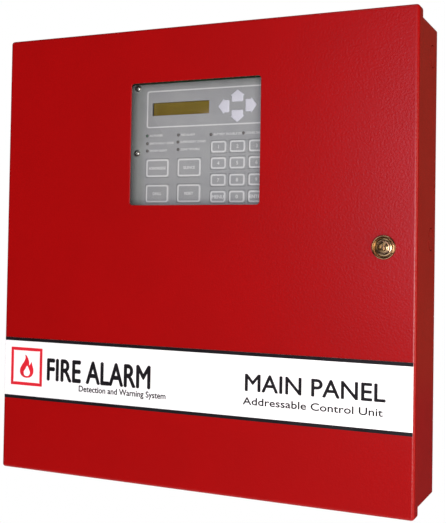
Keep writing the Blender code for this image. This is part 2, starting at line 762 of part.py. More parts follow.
def offset(outline, amount):
    """Return an outline with every side moved outwards by an amount."""
    points = [Vector(point) for point in outline]
    area = sum(a.x * b.y - b.x * a.y for a, b in zip(points, points[1:] + points[:1]))
    if area < 0:
        points.reverse()
    moved = []
    for before, here, after in zip(points[-1:] + points[:-1], points, points[1:] + points[:1]):
        first = (here - before).normalized()
        second = (after - here).normalized()
        normal_a = Vector((first.y, -first.x))
        normal_b = Vector((second.y, -second.x))
        bisector = normal_a + normal_b
        moved.append(tuple(here + bisector * amount / (1 + normal_a.dot(normal_b))))
    return moved


def ring_stack(layers):
    """Return a closed shape through outlines of equal length at rising y values."""
    shape = bmesh.new()
    rings = [[shape.verts.new((x, y, z)) for x, z in outline] for outline, y in layers]
    for near, far in zip(rings, rings[1:]):
        for side in range(len(near)):
            after = (side + 1) % len(near)
            shape.faces.new((near[side], near[after], far[after], far[side]))
    shape.faces.new(rings[0])
    shape.faces.new(rings[-1])
    bmesh.ops.recalc_face_normals(shape, faces=shape.faces)
    return shape


def make_keys(outlines):
    """Make each key as a cap through the plate with a flange that keeps it behind."""
    for name, outline in outlines.items():
        x, z = outline_centre(outline)
        face = PLATE_FRONT - KEY_PROUD
        cap = offset(outline, 0.0)   # the same outline, wound the same way round as the others
        wide = offset(outline, KEY_FLANGE)
        layers = [(offset(outline, -KEY_EASE), face), (cap, face + KEY_EASE), (cap, KEY_FLANGE_FRONT),
                  (wide, KEY_FLANGE_FRONT), (wide, KEY_FLANGE_FRONT + KEY_FLANGE_T)]
        solid(name, ring_stack(layers), (x, face, z), key_grey())


def make_keypad_plate(outlines):
    """Make the grey plate with a hole for each key and an opening for the display."""
    grey = material("keypad_plate", (0.25, 0.26, 0.29), 0.5)
    sheet = solid("keypad_plate",
                  plate(rectangle(0, PLATE_Z, PLATE_W, PLATE_H), PLATE_FRONT, PLATE_BACK),
                  (0, PLATE_FRONT, PLATE_Z), grey)
    holes = [plate(offset(outline, KEY_GAP), PLATE_FRONT - SHEET, PLATE_BACK + SHEET)
             for outline in outlines.values()]
    view = rectangle(LCD_X, LCD_Z, LCD_VIEW_W, LCD_VIEW_H)
    holes.append(plate(view, PLATE_FRONT - SHEET, PLATE_BACK + SHEET))
    cut(sheet, "plate_holes", merged(holes))


def make_display():
    """Make the character display: a metal bezel on its own small board."""
    bezel_front = PLATE_BACK + GAP
    bezel_back = bezel_front + LCD_BEZEL_DEEP
    tray = material("display_module", (0.09, 0.10, 0.09), 0.4, 0.3)
    outline = rectangle(LCD_X, LCD_Z, LCD_BEZEL_W, LCD_BEZEL_H)
    module = solid("lcd_module", plate(outline, bezel_front, bezel_back), (LCD_X, bezel_front, LCD_Z),
                   tray)
    board = rectangle(LCD_X, LCD_Z, LCD_BOARD_W, LCD_BOARD_H)
    join(module, "lcd_board", plate(board, bezel_back - BOARD_T / 2, bezel_back + BOARD_T / 2))


def make_keypad_board():
    """Make the switch board behind the keys, open where the display sits."""
    board = solid("keypad_board",
                  plate(rectangle(0, PLATE_Z, KEYBOARD_W, KEYBOARD_H), KEYBOARD_FRONT,
                        KEYBOARD_FRONT + BOARD_T),
                  (0, KEYBOARD_FRONT, PLATE_Z), circuit_green())
    hole = rectangle(LCD_X, LCD_Z, LCD_BEZEL_W + LCD_CUT_CLEAR, LCD_BEZEL_H + LCD_CUT_CLEAR)
    cut(board, "display_cut", plate(hole, KEYBOARD_FRONT - SHEET, KEYBOARD_FRONT + 2 * SHEET))


def make_keypad_posts():
    """Make the four hexagonal posts that carry the keypad plate on the main board."""
    places = [(-POST_X, PLATE_Z + POST_DZ), (POST_X, PLATE_Z + POST_DZ),
              (-POST_X, PLATE_Z - POST_DZ), (POST_X, PLATE_Z - POST_DZ)]
    for number, (x, z) in enumerate(places, start=1):
        shape = plate(hexagon(x, z, POST_FLATS), PLATE_BACK + GAP, BOARD_FRONT - GAP)
        solid("keypad_post_" + str(number), shape, (x, BOARD_FRONT, z), zinc())


def make_ribbon():
    """Make the flat cable that hangs in a loop between the keypad board and the main board."""
    start = KEYBOARD_FRONT + BOARD_T + GAP
    end = BOARD_FRONT - GAP
    middle = []
    for step in range(RIBBON_STEPS + 1):
        t = step / RIBBON_STEPS
        y = start + (end - start) * t
        middle.append(Vector((y, RIBBON_Z + RIBBON_SAG * (1 - math.sin(math.pi * t)))))
    over = []
    under = []
    for index, point in enumerate(middle):
        before = middle[max(index - 1, 0)]
        after = middle[min(index + 1, RIBBON_STEPS)]
        along = (after - before).normalized()
        if index in (0, RIBBON_STEPS):
            along = Vector((1, 0))
        across = Vector((-along.y, along.x)) * RIBBON_T / 2
        over.append(point + across)
        under.append(point - across)
    left = RIBBON_X - RIBBON_W / 2
    outline = [(left, point.x, point.y) for point in over + under[::-1]]
    solid("ribbon_cable", extruded(outline, (RIBBON_W, 0, 0)), (RIBBON_X, start, RIBBON_Z),
          material("ribbon_grey", (0.45, 0.45, 0.46), 0.5))


# ---------------------------------------------------------------- electronics and power

def make_main_board():
    """Make the main circuit board on the cabinet's bosses."""
    middle = (BOARD_BOTTOM + BOARD_TOP) / 2
    outline = rectangle(0, middle, BOARD_W, BOARD_TOP - BOARD_BOTTOM)
    solid("main_board", plate(outline, BOARD_FRONT, BOARD_BACK), (0, BOARD_BACK, middle),
          circuit_green())


def make_terminal_strips():
    """Make the two long rows of screw terminals along the board's edges."""
    base = BOARD_FRONT - GAP
    green = material("terminal_green", (0.03, 0.30, 0.12), 0.45)
    for name, z in STRIP_ROWS.items():
        outward = 1 if name.endswith("upper") else -1
        low = z - outward * STRIP_H / 2
        high = z + outward * STRIP_H / 2
        step = z + outward * STRIP_H * STRIP_STEP
        outline = [(base, low), (base, high), (base - STRIP_DEEP * STRIP_LEDGE, high),
                   (base - STRIP_DEEP, step), (base - STRIP_DEEP, low)]
        shape = extruded([(-STRIP_LEN / 2, y, height) for y, height in outline], (STRIP_LEN, 0, 0))
        solid(name, shape, (0, base, z), green)


def make_heat_sink():
    """Make the finned heat sink on the board's left side."""
    x, z = SINK_LOW
    base = BOARD_FRONT - GAP
    pitch = (SINK_W - SINK_FIN_T) / (SINK_FINS - 1)
    outline = [(x + SINK_W, base), (x, base)]
    for fin in range(SINK_FINS):
        left = x + fin * pitch
        if fin:
            outline.append((left, base - SINK_BASE))
        outline.append((left, base - SINK_DEEP))
        outline.append((left + SINK_FIN_T, base - SINK_DEEP))
        if fin < SINK_FINS - 1:
            outline.append((left + SINK_FIN_T, base - SINK_BASE))
    shape = extruded([(u, y, z) for u, y in outline], (0, 0, SINK_H))
    solid("heat_sink", shape, (x, base, z), material("black_aluminium", (0.04, 0.04, 0.045), 0.45, 0.6))


def make_sounder():
    """Make the round trouble sounder on the board's right side."""
    x, z = SOUNDER_AT
    base = BOARD_FRONT - GAP
    front = base - SOUNDER_T
    hole_floor = front + SOUNDER_HOLE_DEEP
    profile = [(0, base), (SOUNDER_R, base), (SOUNDER_R, front + SOUNDER_EASE),
               (SOUNDER_R - SOUNDER_EASE, front), (SOUNDER_HOLE_R, front), (SOUNDER_HOLE_R, hole_floor),
               (0, hole_floor)]
    smooth(solid("sounder", turned(profile, x, z, SMALL_ROUND), (x, base, z), black_plastic()))


def make_transformer():
    """Make the laminated core with its feet, and the coil wound round its centre leg."""
    x = TRANSFORMER_X
    z = TRANSFORMER_Z
    coil_back = -SHEET - GAP
    middle = coil_back - COIL_T / 2
    steel = material("core_steel", (0.20, 0.20, 0.21), 0.5, 0.8)
    front = middle - CORE_T / 2
    core = solid("transformer_core",
                 plate(rectangle(x, z, CORE_W, CORE_H), front, middle + CORE_T / 2), (x, middle, z), steel)
    for side in (-1, 1):
        edge = x + side * CORE_W / 2
        foot = [(edge - side * FOOT_T, front), (edge + side * FOOT_T, front),
                (edge + side * FOOT_T, coil_back - FOOT_T),
                (edge + side * (FOOT_T + FOOT_OUT), coil_back - FOOT_T),
                (edge + side * (FOOT_T + FOOT_OUT), coil_back), (edge - side * FOOT_T, coil_back)]
        shape = extruded([(u, y, z - CORE_H / 2) for u, y in foot], (0, 0, CORE_H))
        join(core, "foot" + str(side), shape)
    holes = [plate(rectangle(x + side * (CORE_WINDOW + CORE_LEG) / 2, z, CORE_WINDOW - CORE_LEG,
                             CORE_WINDOW_H), front - SHEET, middle + CORE_T / 2 + SHEET)
             for side in (-1, 1)]
    cut(core, "core_windows", merged(holes))
    coil = solid("transformer_coil",
                 plate(rectangle(x, z, COIL_W, COIL_H), coil_back - COIL_T, coil_back),
                 (x, middle, z), material("coil_tape", (0.62, 0.55, 0.20), 0.5))
    leg = CORE_LEG + GAP
    deep = CORE_T / 2 + GAP
    cut(coil, "leg_hole", block((x - leg, middle - deep, z - COIL_H), (x + leg, middle + deep, z + COIL_H)))


def tab_places(x):
    """Return the (x, y) centres of a battery's two terminal tabs."""
    y = -SHEET - GAP - BATTERY_D + TAB_INSET
    return (x - BATTERY_W / 2 + TAB_INSET, y), (x + BATTERY_W / 2 - TAB_INSET, y)


def make_batteries():
    """Make the two sealed batteries that stand on the cabinet's floor."""
    floor = -INNER_Z + GAP
    back = -SHEET - GAP
    for name, x in (("battery_left", -BATTERY_X), ("battery_right", BATTERY_X)):
        shape = eased_block((x - BATTERY_W / 2, back - BATTERY_D, floor),
                            (x + BATTERY_W / 2, back, floor + BATTERY_H), BATTERY_EASE)
        case = solid(name, shape, (x, back, floor), black_plastic())
        top = floor + BATTERY_H
        tabs = [block((tab_x - TAB_W / 2, tab_y - TAB_T / 2, top - TAB_ROOT),
                      (tab_x + TAB_W / 2, tab_y + TAB_T / 2, top + TAB_H))
                for tab_x, tab_y in tab_places(x)]
        join(case, name + "_tabs", merged(tabs))


def make_leads():
    """Make the battery leads, the jumper between the batteries and the transformer's leads."""
    red = material("red_insulation", (0.55, 0.02, 0.02), 0.45)
    black = black_plastic()
    yellow = material("yellow_insulation", (0.75, 0.55, 0.05), 0.45)
    blue = material("blue_insulation", (0.03, 0.08, 0.40), 0.45)
    tab_top = -INNER_Z + GAP + BATTERY_H + TAB_H + LEAD_R
    strip_foot = STRIP_ROWS["terminal_strip_lower"] - STRIP_H / 2 - GAP
    strip_y = BOARD_FRONT - GAP - STRIP_DEEP / 3
    (left_minus, y), (left_plus, _) = tab_places(-BATTERY_X)
    (right_minus, _), (right_plus, _) = tab_places(BATTERY_X)
    wire("battery_jumper", [(left_plus, y, tab_top), (left_plus + 0.001, y, tab_top + 0.012),
                            (left_plus + 0.010, y - 0.002, tab_top + 0.022), (0, y - 0.004, tab_top + 0.026),
                            (right_minus - 0.010, y - 0.002, tab_top + 0.022),
                            (right_minus - 0.001, y, tab_top + 0.012), (right_minus, y, tab_top)],
         LEAD_R, blue)
    wire("battery_lead_black", [(left_minus, y, tab_top), (left_minus, y, tab_top + 0.012),
                                (left_minus + 0.016, y + 0.010, tab_top + 0.036),
                                (-0.085, -0.030, -0.060), (-0.066, -0.024, -0.020),
                                (-0.060, strip_y, strip_foot - 0.012), (-0.060, strip_y, strip_foot)],
         LEAD_R, black)
    wire("battery_lead_red", [(right_plus, y, tab_top), (right_plus, y, tab_top + 0.012),
                              (right_plus - 0.018, y + 0.010, tab_top + 0.036),
                              (0.060, -0.030, -0.055), (-0.030, -0.024, -0.022),
                              (-0.048, strip_y, strip_foot - 0.012), (-0.048, strip_y, strip_foot)],
         LEAD_R, red)
    top = TRANSFORMER_Z + COIL_H / 2 + GAP
    coil_front = -SHEET - GAP - COIL_T
    for name, shift, finish in (("transformer_lead_a", -0.006, yellow), ("transformer_lead_b", 0.006, blue)):
        x = TRANSFORMER_X + shift
        end = -0.108 + shift
        wire(name, [(x, coil_front + 0.004, top), (x, coil_front + 0.003, top + 0.010),
                    (x + 0.012, coil_front + 0.004, top + 0.024), (end - 0.010, -0.030, -0.010),
                    (end, strip_y, strip_foot - 0.012), (end, strip_y, strip_foot)], LEAD_R, finish)


def main():
    """Build the whole panel."""
    clear_scene()
    door = empty("door_axis", (HINGE_X, HINGE_Y, 0))
    make_back_box()
    make_latch_strike()
    make_hinge("upper", HINGE_Z, door)
    make_hinge("lower", -HINGE_Z, door)
    make_door_shell(door)
    make_window(door)
    make_label(door)
    make_lock_plug(make_lock(door))
    outlines = key_outlines()
    make_keys(outlines)
    make_keypad_plate(outlines)
    make_display()
    make_keypad_board()
    make_keypad_posts()
    make_ribbon()
    make_main_board()
    make_terminal_strips()
    make_heat_sink()
    make_sounder()
    make_transformer()
    make_batteries()
    make_leads()


main()
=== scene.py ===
"""Looks of a wall-mounted fire alarm control panel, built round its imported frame.

Metres, +Z up, the door faces -Y and the cabinet's back lies on the wall at y = 0.
A flat outline is an (n, 2) array of (x, z) points that run anticlockwise as seen from the front.
"""
import logging
import math
from dataclasses import dataclass
from enum import Enum
from typing import Sequence

import bpy
import numpy as np
from numpy.typing import NDArray
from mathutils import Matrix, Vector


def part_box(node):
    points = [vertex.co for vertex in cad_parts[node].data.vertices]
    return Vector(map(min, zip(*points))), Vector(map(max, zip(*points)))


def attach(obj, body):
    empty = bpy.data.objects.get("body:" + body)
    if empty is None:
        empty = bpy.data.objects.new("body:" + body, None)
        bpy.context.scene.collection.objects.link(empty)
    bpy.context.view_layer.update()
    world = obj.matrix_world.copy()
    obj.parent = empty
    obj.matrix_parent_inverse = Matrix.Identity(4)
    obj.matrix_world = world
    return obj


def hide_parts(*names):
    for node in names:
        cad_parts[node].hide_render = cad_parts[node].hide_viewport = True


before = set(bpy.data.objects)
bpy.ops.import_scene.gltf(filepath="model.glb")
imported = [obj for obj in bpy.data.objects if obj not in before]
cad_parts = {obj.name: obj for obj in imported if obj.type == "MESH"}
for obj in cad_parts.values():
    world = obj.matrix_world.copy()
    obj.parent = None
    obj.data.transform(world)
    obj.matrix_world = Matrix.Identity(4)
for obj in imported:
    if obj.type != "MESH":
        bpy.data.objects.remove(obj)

Points = NDArray[np.float64]
Colour = tuple[float, float, float]
Layers = Sequence[tuple[float, float]]
Socket = bpy.types.NodeSocket
Sockets = bpy.types.bpy_prop_collection
Node = bpy.types.Node
Mesh = bpy.types.Mesh

LOG = logging.getLogger("panel")
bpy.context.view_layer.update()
SINK = 0.0001                    # how far printed ink reaches into the surface that carries it
INK = 0.00005                    # how far it stands proud


def extent(node: str) -> tuple[Points, Points]:
    """Return a frame node's lowest and highest corners as arrays."""
    low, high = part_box(node)
    return np.array(low), np.array(high)


def tint(red: int, green: int, blue: int) -> Colour:
    """Return a linear colour from display values: ((v / 255 + 0.055) / 1.055) to the power 2.4."""
    value = np.array([red, green, blue]) / 255.0
    low = value <= 0.04045
    return tuple(np.where(low, value / 12.92, ((value + 0.055) / 1.055) ** 2.4).tolist())


# ---------------------------------------------------------------- surfaces

class Axis(Enum):
    """The direction that a turned or extruded shape runs along."""

    X = "x"
    Y = "y"
    Z = "z"

    def place(self, across: Points, up: Points, along: Points) -> Points:
        """Return points from coordinates across, up and along this axis, taken in x, y, z order."""
        order = {Axis.X: (along, across, up), Axis.Y: (across, along, up), Axis.Z: (across, up, along)}
        return np.stack(np.broadcast_arrays(*order[self]), -1).astype(float)


@dataclass
class Shape:
    """Points and blocks of faces, where a block holds faces of one corner count."""

    points: Points
    faces: list[NDArray[np.int64]]

    def moved(self, by: Sequence[float]) -> "Shape":
        """Return the shape with a vector added to every point."""
        return Shape(self.points + np.asarray(by), self.faces)

    def volume(self) -> float:
        """Return the signed volume: a sixth of a.(b x c) over each face's fan of triangles."""
        total = 0.0
        for block in self.faces:
            fan = self.points[block]
            first = fan[:, :1]
            total += np.einsum("ijk,ijk->", np.broadcast_to(first, fan[:, 1:-1].shape),
                               np.cross(fan[:, 1:-1], fan[:, 2:])) / 6
        return float(total)

    def outward(self) -> "Shape":
        """Return a closed shape with its faces turned round if its volume comes out negative."""
        if self.volume() < 0:
            return Shape(self.points, [block[:, ::-1] for block in self.faces])
        return self


def joined(shapes: Sequence[Shape]) -> Shape:
    """Return several shapes as one, each block's point numbers raised by the points before it."""
    starts = np.cumsum([0] + [len(shape.points) for shape in shapes])
    faces = [block + start for shape, start in zip(shapes, starts) for block in shape.faces]
    return Shape(np.concatenate([shape.points for shape in shapes]), faces)


def repeated(shape: Shape, places: Points) -> Shape:
    """Return copies of a shape: point (i, j) is place i plus point j."""
    places = np.asarray(places, float)
    points = (places[:, None] + shape.points[None]).reshape(-1, 3)
    steps = np.arange(len(places)) * len(shape.points)
    faces = [(steps[:, None, None] + block[None]).reshape(-1, block.shape[1]) for block in shape.faces]
    return Shape(points, faces)


def loft(rings: Points, loop: bool = False) -> Shape:
    """Return the closed surface over rings: a face spans corners j, j + 1 of rings i, i + 1.

    Args:
        rings: points in an (i, j, 3) grid, where each ring i closes on itself.
        loop: whether the last ring joins the first, instead of a cap on each.

    Returns:
        The surface, facing outwards.
    """
    count, sides = rings.shape[:2]
    i, j = np.meshgrid(np.arange(count if loop else count - 1), np.arange(sides), indexing="ij")
    near, far, after = i * sides, (i + 1) % count * sides, (j + 1) % sides
    faces = [np.stack([near + j, near + after, far + after, far + j], -1).reshape(-1, 4)]
    if not loop:
        faces += [np.arange(sides)[None, ::-1], np.arange(sides)[None] + (count - 1) * sides]
    return Shape(rings.reshape(-1, 3), faces).outward()


def revolved(profile: Layers, at: Sequence[float] = (0, 0, 0), axis: Axis = Axis.Y, sides: int = 32,
             loop: bool = False) -> Shape:
    """Return a turned shape: point (i, j) is at radius i, at angle 2 pi j / sides, at height i.

    Args:
        profile: (radius, height) pairs, the heights measured from the centre along the axis.
        at: the centre.
        axis: the line that the profile turns about.
        sides: facets round.
        loop: whether the profile closes on itself, which leaves a bore.

    Returns:
        The closed shape.
    """
    radius, height = np.array(profile, float).T
    angle = 2 * np.pi * np.arange(sides) / sides
    rings = axis.place(radius[:, None] * np.cos(angle), radius[:, None] * np.sin(angle), height[:, None])
    return loft(rings + np.asarray(at, float), loop)


def grown(outline: Points, amount: float) -> Points:
    """Return an outline with its sides moved out: a corner moves (n1 + n2) amount / (1 + n1.n2)."""
    side = np.roll(outline, -1, 0) - outline
    normal = np.stack([side[:, 1], -side[:, 0]], -1) / np.linalg.norm(side, axis=1)[:, None]
    before = np.roll(normal, 1, 0)
    return outline + (before + normal) * amount / (1 + (before * normal).sum(1))[:, None]


def stacked(rows: Sequence[tuple[Points, float]], axis: Axis = Axis.Y, loop: bool = False) -> Shape:
    """Return the surface through outlines, each at its height along the axis."""
    return loft(np.stack([axis.place(*line.T, np.array(height)) for line, height in rows]), loop)


def prism(outline: Points, layers: Layers, axis: Axis = Axis.Y) -> Shape:
    """Return rings of an outline, each grown by its layer's first value, at the second along the axis."""
    return stacked([(grown(outline, amount), height) for amount, height in layers], axis)


def eased(low: float, high: float, ease: float, steps: int = 2) -> list[tuple[float, float]]:
    """Return layers with rounded rims: at angle a, inset ease (1 - sin a), height ease (1 - cos a)."""
    angle = np.linspace(0, np.pi / 2, steps + 1)
    inset = ease * (np.sin(angle) - 1)
    rise = math.copysign(1, high - low) * ease * (1 - np.cos(angle))
    return list(zip(inset, low + rise)) + list(zip(inset[::-1], high - rise[::-1]))


def rounded(x: float, z: float, width: float, height: float, radius: float, steps: int = 4) -> Points:
    """Return a rounded rectangle: corner centres plus radius (cos a, sin a) over each quarter turn."""
    quarter = np.arange(4)[:, None] * np.pi / 2 + np.linspace(0, np.pi / 2, steps + 1)
    side_x = np.array([1, -1, -1, 1])[:, None]
    side_z = np.array([1, 1, -1, -1])[:, None]
    across = x + side_x * (width / 2 - radius) + radius * np.cos(quarter)
    up = z + side_z * (height / 2 - radius) + radius * np.sin(quarter)
    return np.stack([across, up], -1).reshape(-1, 2)


def polar(x: float, z: float, radius: Points | float, angle: Points) -> Points:
    """Return the points at radius (cos a, sin a) from a centre."""
    return np.stack([x + radius * np.cos(angle), z + radius * np.sin(angle)], -1)


def regular(x: float, z: float, radius: float, sides: int) -> Points:
    """Return a regular polygon's corners about a centre."""
    return polar(x, z, radius, 2 * np.pi * np.arange(sides) / sides)


def both_sides(across: float, rows: Sequence[float]) -> Points:
    """Return places left and right of the middle, at each height in rows."""
    return np.array([(side * across, 0, z) for side in (-1, 1) for z in rows])


def filleted(outline: Points, radius: float, steps: int = 3) -> Points:
    """Return an outline with curved corners: (1-t)^2 A + 2t(1-t) P + t^2 B round each corner P."""
    t = np.linspace(0, 1, steps + 1)[None, :, None]
    corner = outline[:, None]
    into, out = (np.roll(outline, 1, 0) - outline), (np.roll(outline, -1, 0) - outline)
    into *= (np.minimum(radius / np.linalg.norm(into, axis=1), 0.45))[:, None]
    out *= (np.minimum(radius / np.linalg.norm(out, axis=1), 0.45))[:, None]
    start, end = corner + into[:, None], corner + out[:, None]
    return ((1 - t) ** 2 * start + 2 * t * (1 - t) * corner + t ** 2 * end).reshape(-1, 2)


def slab(outline: Points, low: float, high: float, ease: float, axis: Axis = Axis.Y) -> Shape:
    """Return an outline as a plate between two heights along an axis, with rounded rims."""
    return prism(outline, eased(low, high, ease), axis)


def brick(low: Sequence[float], high: Sequence[float], ease: float) -> Shape:
    """Return a box between two corners, with rounded vertical edges and rims along Y."""
    (x0, y0, z0), (x1, y1, z1) = low, high
    outline = rounded((x0 + x1) / 2, (z0 + z1) / 2, x1 - x0, z1 - z0, ease, 2)
    return slab(outline, y0, y1, ease * 0.7)


def band(outer: Points, inner: Points, front: float, back: float) -> Shape:
    """Return a flat ring between two outlines of equal length, from front to back along Y."""
    return stacked(((outer, back), (outer, front), (inner, front), (inner, back)), loop=True)


def cubic(a: Points, b: Points, c: Points, d: Points, steps: int) -> Points:
    """Return the Catmull-Rom curve from each b to c: (2b + (c-a)t + (2a-5b+4c-d)t^2 + (3b-a-3c+d)t^3) / 2."""
    t = (np.arange(steps) / steps)[None, :, None]
    a, b, c, d = (knots[:, None] for knots in (a, b, c, d))
    second, third = 2 * a - 5 * b + 4 * c - d, 3 * b - a - 3 * c + d
    curve = 0.5 * (2 * b + (c - a) * t + second * t ** 2 + third * t ** 3)
    return curve.reshape(-1, curve.shape[-1])


def spline(knots: Sequence[Sequence[float]], steps: int) -> Points:
    """Return a smooth open curve through knots, led in and out by one mirrored knot at each end."""
    k = np.asarray(knots, float)
    k = np.concatenate([2 * k[:1] - k[1:2], k, 2 * k[-1:] - k[-2:-1]])
    return np.concatenate([cubic(*(k[n:len(k) - 3 + n] for n in range(4)), steps), k[-2:-1]])


def tube(path: Points, radii: Points | float, sides: int = 12) -> Shape:
    """Return a round tube: point (i, j) is path i plus radius i (cos a_j side_i + sin a_j up_i).

    Side is the cross product of the path's direction and +Y, and up that of side and the direction.
    """
    along = np.gradient(path, axis=0)
    along /= np.linalg.norm(along, axis=1)[:, None]
    side = np.cross(along, np.array([0.0, 1.0, 0.0]))
    side /= np.linalg.norm(side, axis=1)[:, None]
    up = np.cross(side, along)
    angle = (2 * np.pi * np.arange(sides) / sides)[None, :, None]
    reach = np.broadcast_to(np.asarray(radii, float), (len(path),))[:, None, None]
    return loft(path[:, None] + reach * (np.cos(angle) * side[:, None] + np.sin(angle) * up[:, None]))


def flattened(item: bpy.types.Object) -> Mesh:
    """Return what an object looks like with its modifiers, as a new mesh, and remove the object."""
    bpy.context.view_layer.update()
    made = bpy.data.meshes.new_from_object(item.evaluated_get(bpy.context.evaluated_depsgraph_get()))
    bpy.data.objects.remove(item)
    return made


def read(mesh: Mesh) -> Shape:
    """Return a mesh's points and its triangles."""
    mesh.calc_loop_triangles()
    points = np.empty(len(mesh.vertices) * 3)
    mesh.vertices.foreach_get("co", points)
    corners = np.empty(len(mesh.loop_triangles) * 3, np.int32)
    mesh.loop_triangles.foreach_get("vertices", corners)
    return Shape(points.reshape(-1, 3), [corners.reshape(-1, 3).astype(np.int64)])


def mesh_of(name: str, shape: Shape) -> Mesh:
    """Return a mesh that holds a shape."""
    mesh = bpy.data.meshes.new(name)
    mesh.from_pydata(shape.points, [], [face for block in shape.faces for face in block.tolist()])
    return mesh


def pierced(shape: Shape, holes: Shape) -> Mesh:
    """Return a mesh of one closed shape with others cut out of it."""
    objects = [bpy.data.objects.new(name, mesh_of(name, part)) for name, part in
               (("whole", shape), ("holes", holes))]
    for item in objects:
        bpy.context.scene.collection.objects.link(item)
    step = objects[0].modifiers.new("holes", "BOOLEAN")
    step.operation, step.solver, step.object = "DIFFERENCE", "EXACT", objects[1]
    made = flattened(objects[0])
    bpy.data.objects.remove(objects[1])
    return made


class Align(Enum):
    """Where a line of lettering stands against its place."""

    LEFT = "LEFT"
    CENTRE = "CENTER"


@dataclass(frozen=True)
class Words:
    """A line of lettering on a surface that faces the front."""

    text: str
    x: float
    z: float
    height: float                # of a capital
    width: float = 0.0           # fitted width, or 0 to leave the letters' own
    align: Align = Align.CENTRE
    weight: float = 0.0          # how far each stroke swells, as a share of the height

    def shape(self, face: float) -> Shape:
        """Return the letters as thin solids on a face at a y value.

        The built-in letters lie in a plane at (u, v); a point goes to (x + s u, y, z + t v), where s and
        t scale the line to its width and its capitals to their height. A heavy line is five copies, the
        middle one and one a stroke's swell to each side, each a micrometre prouder than the last.
        """
        curve = bpy.data.curves.new("words", "FONT")
        curve.body, curve.align_x, curve.extrude, curve.resolution_u = self.text, self.align.value, 0.5, 4
        item = bpy.data.objects.new("words", curve)
        bpy.context.scene.collection.objects.link(item)
        letters = read(flattened(item))
        u, v, deep = letters.points.T
        tall = self.height / 0.7
        wide = self.width / np.ptp(u) if self.width else tall
        y = np.where(deep > 0, face - INK, face + SINK)
        line = Shape(np.stack([self.x + u * wide, y, self.z + v * tall], -1), letters.faces)
        if not self.weight:
            return line
        swell = self.weight * self.height
        steps = np.array([(0, 0, 0), (swell, 1e-6, 0), (-swell, 2e-6, 0), (0, 3e-6, swell),
                          (0, 4e-6, -swell)])
        return repeated(line, steps * (1, -1, 1))


# ---------------------------------------------------------------- shader nodes

class Bench:
    """Adds nodes to a tree and links them."""

    def __init__(self, tree: bpy.types.NodeTree) -> None:
        """Keep the tree that nodes go into."""
        self.tree = tree

    def add(self, kind: str, values: dict[str | int, object] | None = None, **settings: object) -> Node:
        """Add a node.

        Args:
            kind: the node type's name after "ShaderNode".
            values: what each input socket takes, a link where it is another node's socket.
            settings: the node's own properties.

        Returns:
            The node.
        """
        node = self.tree.nodes.new("ShaderNode" + kind)
        for key, value in settings.items():
            setattr(node, key, value)
        for key, value in (values or {}).items():
            self.feed(node.inputs[key], value)
        return node

    def feed(self, entry: Socket, value: object) -> None:
        """Link a socket to an input, or set the input to a value."""
        if isinstance(value, bpy.types.NodeSocket):
            self.tree.links.new(value, entry)
        elif entry.type == "RGBA" and len(value) == 3:
            entry.default_value = (*value, 1.0)
        else:
            entry.default_value = value

    def object_space(self) -> Socket:
        """Return the piece's own coordinates in metres."""
        return self.add("TexCoord").outputs["Object"]

    def maths(self, operation: str, a: object, b: object = 0.0, clamp: bool = False) -> Socket:
        """Return the result of an operation on one or two values."""
        return self.add("Math", {0: a, 1: b}, operation=operation, use_clamp=clamp).outputs[0]

    def times(self, a: object, b: object, clamp: bool = False) -> Socket:
        """Return the product of two values."""
        return self.maths("MULTIPLY", a, b, clamp)

    def plus(self, a: object, b: object) -> Socket:
        """Return the sum of two values."""
        return self.maths("ADD", a, b)

    def span(self, value: Socket, low: float, high: float, to_low: float, to_high: float) -> Socket:
        """Return a value carried from one range to another, held inside it."""
        ranges = {"Value": value, "From Min": low, "From Max": high, "To Min": to_low, "To Max": to_high}
        return self.add("MapRange", ranges).outputs["Result"]

    def blend(self, factor: object, a: object, b: object, mode: str = "MIX") -> Socket:
        """Return two colours mixed by a factor."""
        node = self.add("Mix", data_type="RGBA", blend_type=mode)
        for entry, value in zip((node.inputs[0], node.inputs[6], node.inputs[7]), (factor, a, b)):
            self.feed(entry, value)
        return node.outputs[2]

    def noise(self, vector: Socket, scale: object, detail: float = 2.0, rough: float = 0.5) -> Socket:
        """Return fractal noise at a scale."""
        values = {"Vector": vector, "Scale": scale, "Detail": detail, "Roughness": rough}
        return self.add("TexNoise", values).outputs["Fac"]

    def stretched(self, vector: Socket, scale: object) -> Socket:
        """Return a vector scaled differently along each axis."""
        return self.add("VectorMath", {0: vector, 1: scale}, operation="MULTIPLY").outputs[0]


class Kind(Enum):
    """What a group's socket carries."""

    NUMBER = "NodeSocketFloat"
    VECTOR = "NodeSocketVector"
    COLOUR = "NodeSocketColor"


@dataclass(frozen=True)
class Effect:
    """A surface effect kept as one node group and placed with its own values in each material."""

    name: str = ""
    inputs: tuple[tuple[str, Kind], ...] = ()
    outputs: tuple[tuple[str, Kind], ...] = ()

    def work(self, bench: Bench, entry: Sockets) -> list[Socket]:
        """Add the effect's nodes and return one socket for each output."""
        raise NotImplementedError

    def group(self) -> bpy.types.NodeTree:
        """Return the node group, made on first use."""
        found = bpy.data.node_groups.get(self.name)
        if found:
            return found
        tree = bpy.data.node_groups.new(self.name, "ShaderNodeTree")
        for side, sockets in (("INPUT", self.inputs), ("OUTPUT", self.outputs)):
            for name, kind in sockets:
                tree.interface.new_socket(name=name, in_out=side, socket_type=kind.value)
        entry = tree.nodes.new("NodeGroupInput").outputs
        leave = tree.nodes.new("NodeGroupOutput").inputs
        for (name, _), socket in zip(self.outputs, self.work(Bench(tree), entry)):
            tree.links.new(socket, leave[name])
        return tree

    def place(self, bench: Bench, values: dict[str, object]) -> Sockets:
        """Place the group in a material and return its outputs."""
        node = bench.tree.nodes.new("ShaderNodeGroup")
        node.node_tree = self.group()
        for key, value in values.items():
            bench.feed(node.inputs[key], value)
        return node.outputs


